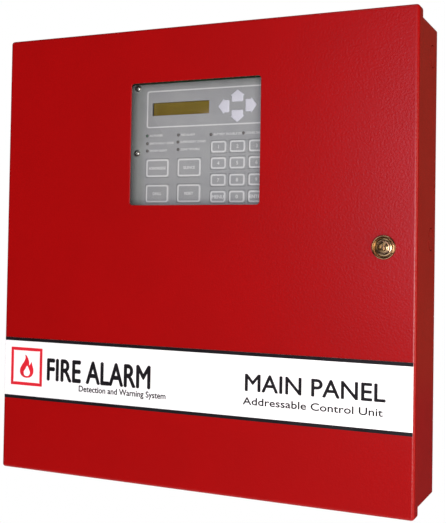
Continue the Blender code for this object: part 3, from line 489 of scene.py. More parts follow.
class OrangePeel(Effect):
    """The ripple of a sprayed or powdered coat, and the slow drift of its depth."""

    def work(self, bench: Bench, entry: Sockets) -> list[Socket]:
        """Add a coarse ripple to a third of a finer one."""
        coarse = bench.noise(entry["Vector"], entry["Scale"], 1.0, 0.4)
        fine = bench.noise(entry["Vector"], bench.times(entry["Scale"], 2.7), 1.0, 0.4)
        height = bench.plus(coarse, bench.times(fine, 0.35))
        drift = bench.noise(entry["Vector"], bench.times(entry["Scale"], 0.03), 3.0)
        return [height, drift]


class MouldGrain(Effect):
    """The etched grain of a moulded face, with slow patches of gloss."""

    def work(self, bench: Bench, entry: Sockets) -> list[Socket]:
        """Sharpen cells into pits and take patches from a slow noise."""
        cells = bench.add("TexVoronoi", {"Vector": entry["Vector"], "Scale": entry["Scale"]},
                          feature="SMOOTH_F1").outputs["Distance"]
        patch = bench.noise(entry["Vector"], bench.times(entry["Scale"], 0.02), 3.0)
        return [cells, patch]


class Brushed(Effect):
    """Fine parallel streaks."""

    def work(self, bench: Bench, entry: Sockets) -> list[Socket]:
        """Take noise on a vector stretched along the streaks."""
        return [bench.noise(bench.stretched(entry["Vector"], entry["Stretch"]), 1.0, 3.0, 0.6)]


class Dust(Effect):
    """Pale dust that lies thin on faces that look upwards."""

    def work(self, bench: Bench, entry: Sockets) -> list[Socket]:
        """Multiply how far a face looks up by a patchy noise."""
        normal = bench.add("NewGeometry").outputs["Normal"]
        up = bench.add("SeparateXYZ", {0: normal}).outputs["Z"]
        patches = bench.span(bench.noise(entry["Vector"], 90.0, 5.0, 0.65), 0.3, 0.7, 0.25, 1.0)
        settled = bench.times(bench.span(up, 0.35, 1.0, 0.0, 1.0), patches)
        mask = bench.times(settled, entry["Amount"], clamp=True)
        return [bench.blend(mask, entry["Colour"], (0.42, 0.4, 0.37)), mask]


class Scuffs(Effect):
    """Sparse hair scratches."""

    def work(self, bench: Bench, entry: Sockets) -> list[Socket]:
        """Keep the narrow middle of a bent noise, and only where a second noise is high."""
        lines = bench.noise(entry["Vector"], entry["Scale"], 1.0)
        thin = bench.span(bench.maths("ABSOLUTE", bench.maths("SUBTRACT", lines, 0.5)), 0.0, 0.006, 1.0, 0.0)
        where = bench.span(bench.noise(entry["Vector"], bench.times(entry["Scale"], 0.6), 2.0),
                           0.55, 0.68, 0.0, 1.0)
        return [bench.times(bench.times(thin, where), entry["Amount"], clamp=True)]


SCALED = (("Vector", Kind.VECTOR), ("Scale", Kind.NUMBER))
PEEL = OrangePeel("orange_peel", SCALED, (("Height", Kind.NUMBER), ("Drift", Kind.NUMBER)))
GRAIN = MouldGrain("mould_grain", SCALED, (("Height", Kind.NUMBER), ("Patch", Kind.NUMBER)))
STREAKS = Brushed("brushed_streaks", (("Vector", Kind.VECTOR), ("Stretch", Kind.VECTOR)),
                  (("Streak", Kind.NUMBER),))
DUST = Dust("settled_dust", (("Vector", Kind.VECTOR), ("Colour", Kind.COLOUR), ("Amount", Kind.NUMBER)),
            (("Colour", Kind.COLOUR), ("Mask", Kind.NUMBER)))
SCUFFS = Scuffs("hair_scuffs", SCALED + (("Amount", Kind.NUMBER),), (("Mask", Kind.NUMBER),))


# ---------------------------------------------------------------- finishes

@dataclass(frozen=True)
class Finish:
    """A material that is made once and given to every piece that wears it."""

    name: str

    def dress(self, bench: Bench, shader: Node, space: Socket) -> None:
        """Set the shader's sockets."""
        raise NotImplementedError

    def material(self) -> bpy.types.Material:
        """Return the material, made on first use."""
        found = bpy.data.materials.get(self.name)
        if found:
            return found
        made = bpy.data.materials.new(self.name)
        made.use_nodes = True
        bench = Bench(made.node_tree)
        self.dress(bench, made.node_tree.nodes["Principled BSDF"], bench.object_space())
        return made

    @staticmethod
    def relief(bench: Bench, shader: Node, height: Socket, deep: float) -> None:
        """Link a height that varies over the surface, in metres of depth, to the normal."""
        bump = bench.add("Bump", {"Height": height, "Strength": 1.0, "Distance": deep})
        bench.feed(shader.inputs["Normal"], bump.outputs["Normal"])


@dataclass(frozen=True)
class PowderCoat(Finish):
    """Baked enamel: glossy, rippled, a little deeper in colour where the coat is thick."""

    thin: Colour = (0.5, 0.01, 0.01)
    thick: Colour = (0.4, 0.01, 0.01)
    gloss: tuple[float, float] = (0.34, 0.42)
    ripple: float = 480.0
    deep: float = 0.00006
    dust: float = 0.0
    sheen: float = 0.5

    def dress(self, bench: Bench, shader: Node, space: Socket) -> None:
        """Mix the two depths of colour by drift, add dust and ripple, and vary the gloss."""
        coat = PEEL.place(bench, {"Vector": space, "Scale": self.ripple})
        colour = bench.blend(bench.span(coat["Drift"], 0.35, 0.65, 0.0, 1.0), self.thin, self.thick)
        flecks = bench.span(coat["Height"], 0.5, 0.85, 0.0, 0.25)
        colour = bench.blend(flecks, colour, self.thick)
        dusty = DUST.place(bench, {"Vector": space, "Colour": colour, "Amount": self.dust})
        bench.feed(shader.inputs["Base Color"], dusty["Colour"])
        gloss = bench.span(coat["Drift"], 0.3, 0.7, *self.gloss)
        bench.feed(shader.inputs["Roughness"], bench.plus(gloss, bench.times(dusty["Mask"], 0.4)))
        shader.inputs["Specular IOR Level"].default_value = self.sheen
        self.relief(bench, shader, coat["Height"], self.deep)


@dataclass(frozen=True)
class Moulded(Finish):
    """Moulded plastic with an etched grain, hair scuffs and a little dust."""

    colour: Colour = (0.03, 0.03, 0.03)
    gloss: float = 0.45
    scale: float = 2600.0
    deep: float = 0.00003
    dust: float = 0.35

    def dress(self, bench: Bench, shader: Node, space: Socket) -> None:
        """Lighten patches and scuffs, and pit the surface."""
        grain = GRAIN.place(bench, {"Vector": space, "Scale": self.scale})
        marks = SCUFFS.place(bench, {"Vector": space, "Scale": 60.0, "Amount": 0.5})
        pale = tuple(min(1.0, c * 1.35 + 0.01) for c in self.colour)
        colour = bench.blend(bench.span(grain["Patch"], 0.35, 0.65, 0.0, 0.7), self.colour, pale)
        colour = bench.blend(bench.times(marks["Mask"], 0.4), colour,
                             tuple(min(1.0, c * 2 + 0.03) for c in self.colour))
        dusty = DUST.place(bench, {"Vector": space, "Colour": colour, "Amount": self.dust})
        bench.feed(shader.inputs["Base Color"], dusty["Colour"])
        gloss = bench.span(grain["Patch"], 0.3, 0.7, self.gloss - 0.06, self.gloss + 0.06)
        bench.feed(shader.inputs["Roughness"], bench.plus(gloss, bench.times(dusty["Mask"], 0.3)))
        self.relief(bench, shader, grain["Height"], self.deep)


@dataclass(frozen=True)
class Plated(Finish):
    """Bare or plated metal with streaks, cloudy plating and scuffs."""

    colour: Colour = (0.62, 0.62, 0.6)
    cloud: Colour = (0.5, 0.5, 0.47)
    gloss: tuple[float, float] = (0.26, 0.42)
    stretch: tuple[float, float, float] = (1500.0, 1500.0, 60.0)
    deep: float = 0.000012

    def dress(self, bench: Bench, shader: Node, space: Socket) -> None:
        """Cloud the colour, roughen the streaks and scratch the surface."""
        streak = STREAKS.place(bench, {"Vector": space, "Stretch": self.stretch})["Streak"]
        marks = SCUFFS.place(bench, {"Vector": space, "Scale": 220.0, "Amount": 0.8})["Mask"]
        cloudy = bench.span(bench.noise(space, 120.0, 4.0, 0.6), 0.35, 0.65, 0.0, 1.0)
        colour = bench.blend(cloudy, self.colour, self.cloud)
        bench.feed(shader.inputs["Base Color"],
                   bench.blend(bench.times(marks, 0.35), colour, (0.2, 0.19, 0.17)))
        shader.inputs["Metallic"].default_value = 1.0
        rough = bench.span(bench.plus(streak, cloudy), 0.4, 1.4, *self.gloss)
        bench.feed(shader.inputs["Roughness"], rough)
        self.relief(bench, shader, streak, self.deep)


@dataclass(frozen=True)
class Printed(Finish):
    """Ink or vinyl: nearly even, with a fine tooth that breaks the gloss."""

    colour: Colour = (0.9, 0.9, 0.89)
    shade: Colour = (0.84, 0.84, 0.83)
    gloss: float = 0.38
    sheen: float = 0.5

    def dress(self, bench: Bench, shader: Node, space: Socket) -> None:
        """Drift between two near colours and tooth the surface."""
        tooth = GRAIN.place(bench, {"Vector": space, "Scale": 3500.0})
        colour = bench.blend(bench.span(tooth["Patch"], 0.35, 0.65, 0.0, 1.0), self.colour, self.shade)
        bench.feed(shader.inputs["Base Color"], colour)
        bench.feed(shader.inputs["Roughness"],
                   bench.span(tooth["Patch"], 0.3, 0.7, self.gloss - 0.05, self.gloss + 0.05))
        shader.inputs["Specular IOR Level"].default_value = self.sheen
        self.relief(bench, shader, tooth["Height"], 0.000008)


@dataclass(frozen=True)
class CircuitBoard(Finish):
    """Solder mask over copper tracks, with vias and pads showing through."""

    mask: Colour = (0.012, 0.105, 0.035)
    track: Colour = (0.035, 0.2, 0.07)
    pitch: float = 170.0

    def dress(self, bench: Bench, shader: Node, space: Socket) -> None:
        """Draw tracks as the edges of square cells, and vias as dots at another cell's middle."""
        flat = bench.stretched(space, (1.0, 0.0, 1.0))
        cells = bench.add("TexVoronoi", {"Vector": flat, "Scale": self.pitch, "Randomness": 0.75},
                          feature="F1", distance="CHEBYCHEV").outputs["Distance"]
        track = bench.span(bench.maths("PINGPONG", cells, 0.11), 0.03, 0.045, 1.0, 0.0)
        dots = bench.add("TexVoronoi", {"Vector": flat, "Scale": self.pitch * 1.7, "Randomness": 0.9},
                         feature="F1", distance="EUCLIDEAN").outputs["Distance"]
        via = bench.span(dots, 0.06, 0.09, 1.0, 0.0)
        colour = bench.blend(track, self.mask, self.track)
        colour = bench.blend(via, colour, (0.45, 0.42, 0.36))
        dusty = DUST.place(bench, {"Vector": space, "Colour": colour, "Amount": 0.4})
        bench.feed(shader.inputs["Base Color"], dusty["Colour"])
        bench.feed(shader.inputs["Roughness"], bench.span(bench.noise(space, 400.0), 0.3, 0.7, 0.26, 0.4))
        self.relief(bench, shader, bench.plus(track, via), 0.00003)


@dataclass(frozen=True)
class Laminated(Finish):
    """The edges of stacked steel sheets, under varnish."""

    light: Colour = (0.2, 0.195, 0.19)
    dark: Colour = (0.055, 0.05, 0.047)
    pitch: float = 0.0006

    def dress(self, bench: Bench, shader: Node, space: Socket) -> None:
        """Band the colour and height by depth, with a different tone for each sheet."""
        deep = bench.add("SeparateXYZ", {0: space}).outputs["Y"]
        phase = bench.maths("PINGPONG", deep, self.pitch / 2)
        line = bench.span(phase, 0.0, self.pitch / 4, 0.0, 1.0)
        tone = bench.noise(bench.stretched(space, (40.0, 1 / self.pitch, 40.0)), 1.0, 2.0)
        colour = bench.blend(bench.times(line, bench.span(tone, 0.3, 0.7, 0.5, 1.0)), self.dark, self.light)
        dusty = DUST.place(bench, {"Vector": space, "Colour": colour, "Amount": 0.35})
        bench.feed(shader.inputs["Base Color"], dusty["Colour"])
        shader.inputs["Metallic"].default_value = 0.6
        bench.feed(shader.inputs["Roughness"], bench.span(tone, 0.3, 0.7, 0.35, 0.55))
        self.relief(bench, shader, line, 0.00008)


@dataclass(frozen=True)
class Wrapped(Finish):
    """Varnished tape laid in turns, with the edge of each turn raised."""

    colour: Colour = (0.62, 0.5, 0.14)
    edge: Colour = (0.4, 0.3, 0.07)
    turn: float = 0.0062

    def dress(self, bench: Bench, shader: Node, space: Socket) -> None:
        """Repeat a ramp up the coil, leaning a little from side to side."""
        parts = bench.add("SeparateXYZ", {0: space}).outputs
        lean = bench.plus(parts["Z"], bench.times(parts["X"], 0.12))
        ramp = bench.maths("FRACT", bench.maths("DIVIDE", lean, self.turn))
        line = bench.span(ramp, 0.0, 0.12, 1.0, 0.0)
        wrinkle = bench.noise(bench.stretched(space, (120.0, 120.0, 700.0)), 1.0, 3.0)
        colour = bench.blend(line, self.colour, self.edge)
        colour = bench.blend(bench.span(wrinkle, 0.4, 0.7, 0.0, 0.45), colour, self.edge)
        bench.feed(shader.inputs["Base Color"], colour)
        bench.feed(shader.inputs["Roughness"], bench.span(wrinkle, 0.3, 0.7, 0.24, 0.42))
        self.relief(bench, shader, bench.plus(ramp, bench.times(wrinkle, 0.6)), 0.00012)


@dataclass(frozen=True)
class Pane(Finish):
    """Clear sheet, seen through except where it glances, with faint hazy wipes."""

    colour: Colour = (0.03, 0.032, 0.033)
    clear: tuple[float, float] = (0.03, 0.4)

    def dress(self, bench: Bench, shader: Node, space: Socket) -> None:
        """Raise the opacity towards grazing angles and where the sheet is wiped."""
        wipes = bench.noise(bench.stretched(space, (9.0, 9.0, 30.0)), 1.0, 4.0, 0.6)
        facing = bench.add("LayerWeight", {"Blend": 0.32}).outputs["Facing"]
        cover = bench.plus(bench.span(facing, 0.0, 1.0, *self.clear),
                           bench.span(wipes, 0.45, 0.75, 0.0, 0.03))
        bench.feed(shader.inputs["Alpha"], cover)
        bench.feed(shader.inputs["Base Color"],
                   bench.blend(bench.span(wipes, 0.4, 0.7, 0.0, 1.0), self.colour, (0.06, 0.062, 0.064)))
        bench.feed(shader.inputs["Roughness"], bench.span(wipes, 0.4, 0.8, 0.03, 0.12))


@dataclass(frozen=True)
class DisplayGlass(Finish):
    """A reflective character display at rest: olive film with faint cells of dots."""

    colour: Colour = (0.12, 0.09, 0.02)
    cell: Colour = (0.105, 0.08, 0.02)
    pitch: tuple[float, float] = (0.0037, 0.006)
    dot: float = 0.00062

    def dress(self, bench: Bench, shader: Node, space: Socket) -> None:
        """Darken the dots inside each character cell: the product of two square waves along X and Z."""
        parts = bench.add("SeparateXYZ", {0: space}).outputs
        inside = 1.0
        dots = 1.0
        for axis, pitch in zip(("X", "Z"), self.pitch):
            place = bench.maths("PINGPONG", bench.plus(parts[axis], 1.0), pitch / 2)
            inside = bench.times(inside, bench.maths("LESS_THAN", place, pitch * 0.42))
            fine = bench.maths("PINGPONG", bench.plus(parts[axis], 1.0), self.dot / 2)
            dots = bench.times(dots, bench.maths("GREATER_THAN", fine, self.dot * 0.08))
        cells = bench.times(inside, dots)
        colour = bench.blend(bench.times(cells, 0.8), self.colour, self.cell)
        drift = bench.span(bench.noise(space, 60.0, 3.0), 0.3, 0.7, 0.0, 0.35)
        bench.feed(shader.inputs["Base Color"],
                   bench.blend(drift, colour, tuple(c * 1.4 for c in self.colour)))
        bench.feed(shader.inputs["Roughness"], bench.span(cells, 0.0, 1.0, 0.16, 0.24))
        bench.feed(shader.inputs["Coat Weight"], bench.span(drift, 0.0, 0.35, 0.3, 0.5))


@dataclass(frozen=True)
class Ribbed(Finish):
    """Flat cable: a rib for each conductor, painted shade in the furrows between ribs, and one coloured edge.
    """

    colour: Colour = (0.4, 0.4, 0.41)
    edge: Colour = (0.45, 0.03, 0.02)
    pitch: float = 0.00127
    mark: float = 0.0285

    def dress(self, bench: Bench, shader: Node, space: Socket) -> None:
        """Paint shade into the furrows between ribs, and colour the ribs left of the mark."""
        x = bench.add("SeparateXYZ", {0: space}).outputs["X"]
        rib = bench.maths("PINGPONG", x, self.pitch / 2)
        furrow_painted_shade = bench.span(rib, 0.0, self.pitch * 0.16, 1.0, 0.0)
        grime = bench.noise(space, 180.0, 4.0)
        colour = bench.blend(bench.maths("LESS_THAN", x, self.mark), self.colour, self.edge)
        # painted shade: the furrows between ribs are darkened towards dark grey, where shade would fall
        colour = bench.blend(bench.times(furrow_painted_shade, 0.6), colour, (0.1, 0.1, 0.1))
        bench.feed(shader.inputs["Base Color"],
                   bench.blend(bench.span(grime, 0.4, 0.8, 0.0, 0.4), colour, (0.28, 0.27, 0.26)))
        bench.feed(shader.inputs["Roughness"], bench.span(grime, 0.3, 0.7, 0.38, 0.5))
        self.relief(bench, shader, bench.span(rib, 0.0, self.pitch / 2, 0.0, 1.0), 0.00025)


@dataclass(frozen=True)
class Backdrop(Finish):
    """Matt pale floor with the faintest unevenness."""

    colour: Colour = (0.86, 0.86, 0.86)

    def dress(self, bench: Bench, shader: Node, space: Socket) -> None:
        """Drift between two near whites."""
        drift = bench.noise(space, 2.0, 3.0)
        pale = bench.blend(drift, self.colour, tuple(c * 0.97 for c in self.colour))
        bench.feed(shader.inputs["Base Color"], pale)
        bench.feed(shader.inputs["Emission Color"], pale)
        shader.inputs["Emission Strength"].default_value = 0.3
        shader.inputs["Roughness"].default_value = 0.8


RED = PowderCoat("red_powder_coat", (0.296, 0.0012, 0.0016), (0.28, 0.0009, 0.0012), (0.28, 0.298), 520.0,
                 0.00011, 0.05, 0.25)
ZINC = Plated("bright_zinc")
STEEL = Plated("machined_steel", (0.5, 0.5, 0.51), (0.4, 0.4, 0.41), (0.2, 0.34), (1500.0, 60.0, 1500.0))
NICKEL = Plated("tin_contact", (0.7, 0.69, 0.66), (0.55, 0.54, 0.5), (0.22, 0.38), (500.0, 500.0, 500.0))
BRASS = Plated("polished_brass", tint(176, 150, 118), tint(130, 106, 74), (0.14, 0.28), (900.0, 900.0, 900.0),
               0.00001)
BLACK = Moulded("black_moulding", (0.022, 0.022, 0.024), 0.45)
CASE = Moulded("battery_case", (0.035, 0.036, 0.04), 0.5, 1400.0, 0.00006, 0.6)
GREEN = Moulded("terminal_green_moulding", (0.02, 0.23, 0.09), 0.36)
BLUE_BOX = Moulded("blue_moulding", (0.03, 0.09, 0.32), 0.36)
WHITE_BOX = Moulded("natural_nylon", (0.62, 0.6, 0.53), 0.42)
BOARD = CircuitBoard("green_solder_mask")
BLACK_METAL = Plated("black_anodised", (0.035, 0.035, 0.038), (0.025, 0.025, 0.027), (0.38, 0.52),
                     (900.0, 900.0, 40.0), 0.00003)
CORE = Laminated("laminated_core")
TAPE = Wrapped("coil_tape_turns")
VINYL = Printed("white_vinyl", (0.93, 0.93, 0.925), (0.89, 0.89, 0.885), 0.34)
BLACK_INK = Printed("black_print", (0.006, 0.0055, 0.007), (0.009, 0.008, 0.01), 0.42, 0.15)
RED_INK = Printed("red_print", tint(214, 32, 48), tint(198, 26, 42), 0.36)
PLATE_GREY = Printed("overlay_grey", tint(159, 162, 161), tint(154, 157, 157), 0.42)
PALE_INK = Printed("overlay_pale_print", tint(212, 214, 212), tint(206, 209, 208), 0.42)
ARROW_INK = Printed("overlay_arrow_print", tint(214, 216, 223), tint(208, 210, 218), 0.4)
LAMP_OFF = Printed("lamp_unlit", (0.2, 0.19, 0.18), (0.15, 0.14, 0.13), 0.2)
LAMP_GREEN = Printed("lamp_green_lens", (0.13, 0.22, 0.15), (0.1, 0.17, 0.12), 0.2)
CLEAR = Pane("clear_sheet")
GLASS = DisplayGlass("display_film", tint(117, 100, 33), tint(108, 92, 30))
RIBBON = Ribbed("grey_flat_cable")
WIRES = {"red": Moulded("red_wire", (0.45, 0.012, 0.012), 0.34, 900.0, 0.00002, 0.2),
         "black": Moulded("black_wire", (0.02, 0.02, 0.02), 0.34, 900.0, 0.00002, 0.2),
         "yellow": Moulded("yellow_wire", (0.7, 0.5, 0.03), 0.34, 900.0, 0.00002, 0.2),
         "blue": Moulded("blue_wire", (0.02, 0.06, 0.36), 0.34, 900.0, 0.00002, 0.2)}


@dataclass(frozen=True)
class Maker:
    """Puts finished pieces on one body of the frame."""

    body: str

    def add(self, name: str, what: Shape | Mesh | Sequence[Shape], finish: Finish,
            stands_for: Sequence[str] = (), slot: str = "", crease: float = 35.0) -> bpy.types.Object:
        """Make one piece.

        Args:
            name: the piece's name.
            what: a shape, several to join, or a mesh.
            finish: what it wears.
            stands_for: frame nodes that it replaces.
            slot: not used.
            crease: the angle in degrees past which an edge stays sharp.

        Returns:
            The piece, riding on the body.
        """
        if not isinstance(what, Mesh):
            what = mesh_of(name, what if isinstance(what, Shape) else joined(what))
        what.name = name
        what.materials.clear()
        what.materials.append(finish.material())
        what.shade_smooth()
        what.set_sharp_from_angle(angle=math.radians(crease))
        made = bpy.data.objects.new(name, what)
        bpy.context.scene.collection.objects.link(made)
        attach(made, self.body)
        if stands_for:
            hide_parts(*stands_for)
        LOG.info("%s on %s: %d faces, %s", name, self.body, len(what.polygons), finish.name)
        return made

    @staticmethod
    def dress_node(node: str, finish: Finish) -> None:
        """Give a frame node that stays in view a finish of its own."""
        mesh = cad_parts[node].data
        mesh.materials.clear()
        mesh.materials.append(finish.material())
        LOG.info("%s keeps its shape, %s", node, finish.name)


CABINET = Maker("cabinet")
DOOR = Maker("door")
LOCK_CORE = Maker("lock_core")


def sections(parts: Sequence[tuple[Points, float, float]], axis: Axis = Axis.Y) -> Shape:
    """Return a looped surface through outlines, each grown by an amount, at a height along the axis."""
    return stacked([(grown(line, amount), height) for line, amount, height in parts], axis, loop=True)


def sleeve(outer: Points, inner: Points, low: float, high: float, ease: float, axis: Axis = Axis.Y) -> Shape:
    """Return a thick ring between two outlines and two heights, with rounded rims."""
    around = [(outer, amount, height) for amount, height in eased(low, high, ease)]
    inside = [(inner, -amount, height) for amount, height in eased(high, low, ease)]
    return sections(around + inside, axis)


def ring_line(outline: Points, inset: float, width: float, face: float, corner: float) -> Shape:
    """Return a printed line of a width that follows an outline, inside it by an inset."""
    outer = filleted(grown(outline, -inset), corner)
    inner = filleted(grown(outline, -inset - width), max(corner - width, 0.0002))
    return band(outer, inner, face - INK, face + SINK)


def printed(outline: Points, face: float) -> Shape:
    """Return a filled outline as a print on a face."""
    return prism(outline, ((0.0, face - INK), (0.0, face + SINK)))


def closed_curve(knots: Sequence[tuple[float, float]], steps: int = 6) -> Points:
    """Return a smooth closed curve through knots."""
    return cubic(*(np.roll(np.array(knots, float), shift, 0) for shift in (1, 0, -1, -2)), steps)


# ---------------------------------------------------------------- door

@dataclass
class Door:
    """The folded cover with its window pane and the frame that holds the pane."""

    sheet: float = 0.0015
    bend: float = 0.0028
    corner: float = 0.0032
    flat_start: float = 0.0006   # how close to a bend the flat's own shading starts
    ease: float = 0.0003
    window_corner: float = 0.003
    pane_lap: float = 0.009
    sight_lap: float = 0.004
    lock_hole: float = 0.0098
    clip_size: tuple[float, float] = (0.015, 0.009)

    def __post_init__(self) -> None:
        """Take the door's, the window's and the lock's places from the frame."""
        self.low, self.high = extent("door_shell")
        self.front, self.edge = self.low[1], self.high[1]
        pane_low, pane_high = extent("window_pane")
        self.pane_back = pane_high[1]
        self.window_z = (pane_low[2] + pane_high[2]) / 2
        self.window = tuple((pane_high - pane_low)[[0, 2]] - 2 * self.pane_lap)

    def outer(self, inset: float) -> Points:
        """Return the door's outline moved in, its corners tighter by as much."""
        width, _, height = self.high - self.low
        return rounded(0, 0, width - 2 * inset, height - 2 * inset, max(self.corner - inset, 0.0002))

    def opening(self, grow: float) -> Points:
        """Return the window's outline moved out."""
        width, height = self.window
        return rounded(0, self.window_z, width + 2 * grow, height + 2 * grow, self.window_corner + grow)

    def fold(self, radius: float, inset: float, front: float, steps: int) -> list[tuple[Points, float]]:
        """Return rings round a bend: at angle a, inset r (1 - cos a) and r (1 - sin a) behind the front."""
        angle = np.linspace(0, np.pi / 2, steps + 1)
        return [(self.outer(inset + radius * (1 - math.cos(a))), front + radius * (1 - math.sin(a)))
                for a in angle]

    def skin(self) -> Shape:
        """Return the sheet: flange edge, outer bend, face, window edge, and back along the inside."""
        start, ease, back = self.flat_start, self.ease, self.front + self.sheet
        inner = self.bend - self.sheet
        outside = [(self.outer(ease), self.edge), (self.outer(0), self.edge - ease),
                   (self.outer(0), self.front + self.bend + start)]
        outside += self.fold(self.bend, 0, self.front, 6) + [(self.outer(self.bend + start), self.front)]
        window = [(self.opening(start), self.front), (self.opening(ease), self.front),
                  (self.opening(ease * 0.3), self.front + ease * 0.3), (self.opening(0), self.front + ease),
                  (self.opening(0), back - ease), (self.opening(ease), back), (self.opening(start), back)]
        inside = [(self.outer(self.bend + start), back)] + self.fold(inner, self.sheet, back, 2)[::-1]
        inside += [(self.outer(self.sheet), back + inner + start), (self.outer(self.sheet), self.edge - ease),
                   (self.outer(self.sheet - ease), self.edge)]
        return stacked(outside + window + inside, loop=True)

    def build(self) -> None:
        """Make the skin, the pane's finish, its frame and the clips that hold the frame."""
        lock_low, lock_high = extent("lock_body")
        x, _, z = (lock_low + lock_high) / 2
        hole = revolved(((self.lock_hole, self.front - 0.01), (self.lock_hole, self.edge)), (x, 0, z),
                        sides=48)
        DOOR.add("door_skin", pierced(self.skin(), hole), RED, ("door_shell",), "red_enamel", 30)
        DOOR.dress_node("window_pane", CLEAR)
        self.pane_frame()
        self.gasket()

    def gasket(self) -> None:
        """Make the black foam strip between the pane and the door's back."""
        front = self.front + self.sheet
        strip = sleeve(self.opening(0.0052), self.opening(0.0012), front + 0.00002, front + 0.00028, 0.0001)
        DOOR.add("pane_gasket", strip, BLACK, slot="black_plastic")

    def pane_frame(self) -> None:
        """Make the pressed frame behind the pane, and six clips on studs."""
        low, high = extent("window_retainer")
        width, _, height = high - low
        outer = rounded(0, self.window_z, width, height, 0.003)
        pocket = rounded(0, self.window_z, width - 0.004, height - 0.004, 0.0015)
        sight = self.opening(self.sight_lap)
        floor, ease = self.pane_back + 0.0003, self.ease
        frame_ring = sections(((outer, -ease, low[1]), (outer, 0, low[1] + ease),
                               (outer, 0, high[1] - 0.0008),
                               (outer, -0.0002, high[1] - 0.0003), (outer, -0.0008, high[1]),
                               (sight, 0.0008, high[1]), (sight, 0.0002, high[1] - 0.0002), (sight, 0, floor),
                               (pocket, 0, floor), (pocket, 0, low[1])))
        DOOR.add("pane_frame", frame_ring, ZINC, ("window_retainer",), "zinc_plate")
        wide, tall = self.clip_size
        reach = width / 2 + 0.0035
        rows = self.window_z + np.array([-1, 0, 1]) * (height / 2 - 0.018)
        places = both_sides(reach, rows)
        back = high[1]
        clip = slab(rounded(0, 0, wide, tall, 0.002), back + 0.0001, back + 0.0011, 0.0003)
        stud = revolved(((0.0019, self.front + self.sheet), (0.0019, back + 0.005), (0.0014, back + 0.0056)),
                        sides=16)
        nut = hex_nut(0, 0, 0.0055, back + 0.0012, back + 0.0036, 0.002)
        DOOR.add("pane_clips", repeated(clip, places), ZINC, slot="zinc_plate")
        DOOR.add("pane_clip_studs", repeated(joined([stud, nut]), places), NICKEL, slot="zinc_plate")


def hex_nut(x: float, z: float, flats: float, low: float, high: float, bore: float) -> Shape:
    """Return a hexagonal nut: radius flats / 2 / cos(a mod 60 - 30), cut by a chamfer at both faces."""
    angle = 2 * np.pi * np.arange(48) / 48
    hexagon = flats / 2 / np.cos(np.mod(angle, np.pi / 3) - np.pi / 6)
    chamfer = 0.12 * (high - low)
    rims = ((np.full(48, bore), low + chamfer), (np.full(48, bore * 1.08), low),
            (np.minimum(hexagon, flats * 0.49), low), (np.minimum(hexagon, flats * 0.56), low + chamfer),
            (np.minimum(hexagon, flats * 0.56), high - chamfer), (np.minimum(hexagon, flats * 0.49), high),
            (np.full(48, bore * 1.08), high), (np.full(48, bore), high - chamfer))
    return stacked([(polar(x, z, r, angle), y) for r, y in rims], loop=True)


def cross_cut(head: Shape, centre: tuple[float, float], arm: tuple[float, float], corner: float,
              depth: tuple[float, float]) -> Mesh:
    """Return a screw's head with a cross recess.

    Args:
        head: the closed head, turned about Y.
        centre: where the cross stands, in x and z.
        arm: the length and the width of each of its two arms.
        corner: the arms' corner radius.
        depth: the y values that the recess spans.

    Returns:
        The head's mesh, cut first along x and then along z.
    """
    for size in (arm, arm[::-1]):
        slot = prism(rounded(*centre, *size, corner, 1), [(0, y) for y in depth])
        made = pierced(head, slot)
        head = read(made)
    return made


@dataclass
class LabelBand:
    """The white band across the door, with its rules, pictogram and lettering."""

    rule: float = 0.0034
    emblem: tuple[float, float, float] = (-0.1924, -0.12, 0.04)
    emblem_line: float = 0.0034
    flame: tuple[tuple[float, float], ...] = (
        (0.0, -0.5), (0.2, -0.46), (0.34, -0.32), (0.37, -0.12), (0.31, 0.06), (0.26, 0.21), (0.2, 0.12),
        (0.14, 0.06), (0.13, 0.22), (0.06, 0.39), (-0.07, 0.52), (-0.07, 0.35), (-0.15, 0.19), (-0.27, 0.03),
        (-0.35, -0.15), (-0.32, -0.34), (-0.18, -0.46))
    drop: tuple[tuple[float, float], ...] = (
        (0.0, -0.42), (0.13, -0.38), (0.18, -0.26), (0.13, -0.12), (0.03, 0.03), (-0.05, -0.1),
        (-0.14, -0.22),
        (-0.12, -0.37))
    words: tuple[Words, ...] = (
        Words("FIRE ALARM", -0.1675, -0.1322, 0.0225, 0.1225, Align.LEFT, 0.034),
        Words("Detection and Warning System", -0.127, -0.1412, 0.006, 0.101, Align.LEFT, 0.035),
        Words("MAIN PANEL", 0.0582, -0.1262, 0.016, 0.1355, Align.LEFT, 0.026),
        Words("Addressable Control Unit", 0.0578, -0.1392, 0.0068, 0.1355, Align.LEFT, 0.03))

    def build(self) -> None:
        """Make the vinyl, then the black and the red print on it."""
        low, high = extent("label_band")
        width, face, height = high[0] - low[0], low[1], high[2] - low[2]
        middle = (low[2] + high[2]) / 2
        vinyl = slab(rounded(0, middle, width, height, 0.0006, 2), face, high[1] + 0.0002, 0.0001)
        DOOR.add("label_vinyl", vinyl, VINYL, ("label_band",), "label_white")
        shift = (height - self.rule) / 2
        rules = [printed(rounded(0, middle + side * shift, width, self.rule, 0.0003, 2), face)
                 for side in (-1, 1)]
        DOOR.add("label_black_print", rules + [line.shape(face) for line in self.words], BLACK_INK)
        x, z, tall = self.emblem
        frame_line = ring_line(rounded(x, z, tall, tall, 0.0002, 1), 0.0, self.emblem_line, face, 0.01)
        flame = closed_curve(np.array(self.flame) * tall * 0.6 + (x, z))
        DOOR.add("label_red_print", [frame_line, printed(flame, face)], RED_INK)
        drop = closed_curve(np.array(self.drop) * tall * 0.6 + (x, z))
        DOOR.add("label_flame_core", printed(drop, face - INK + 0.00001), VINYL)


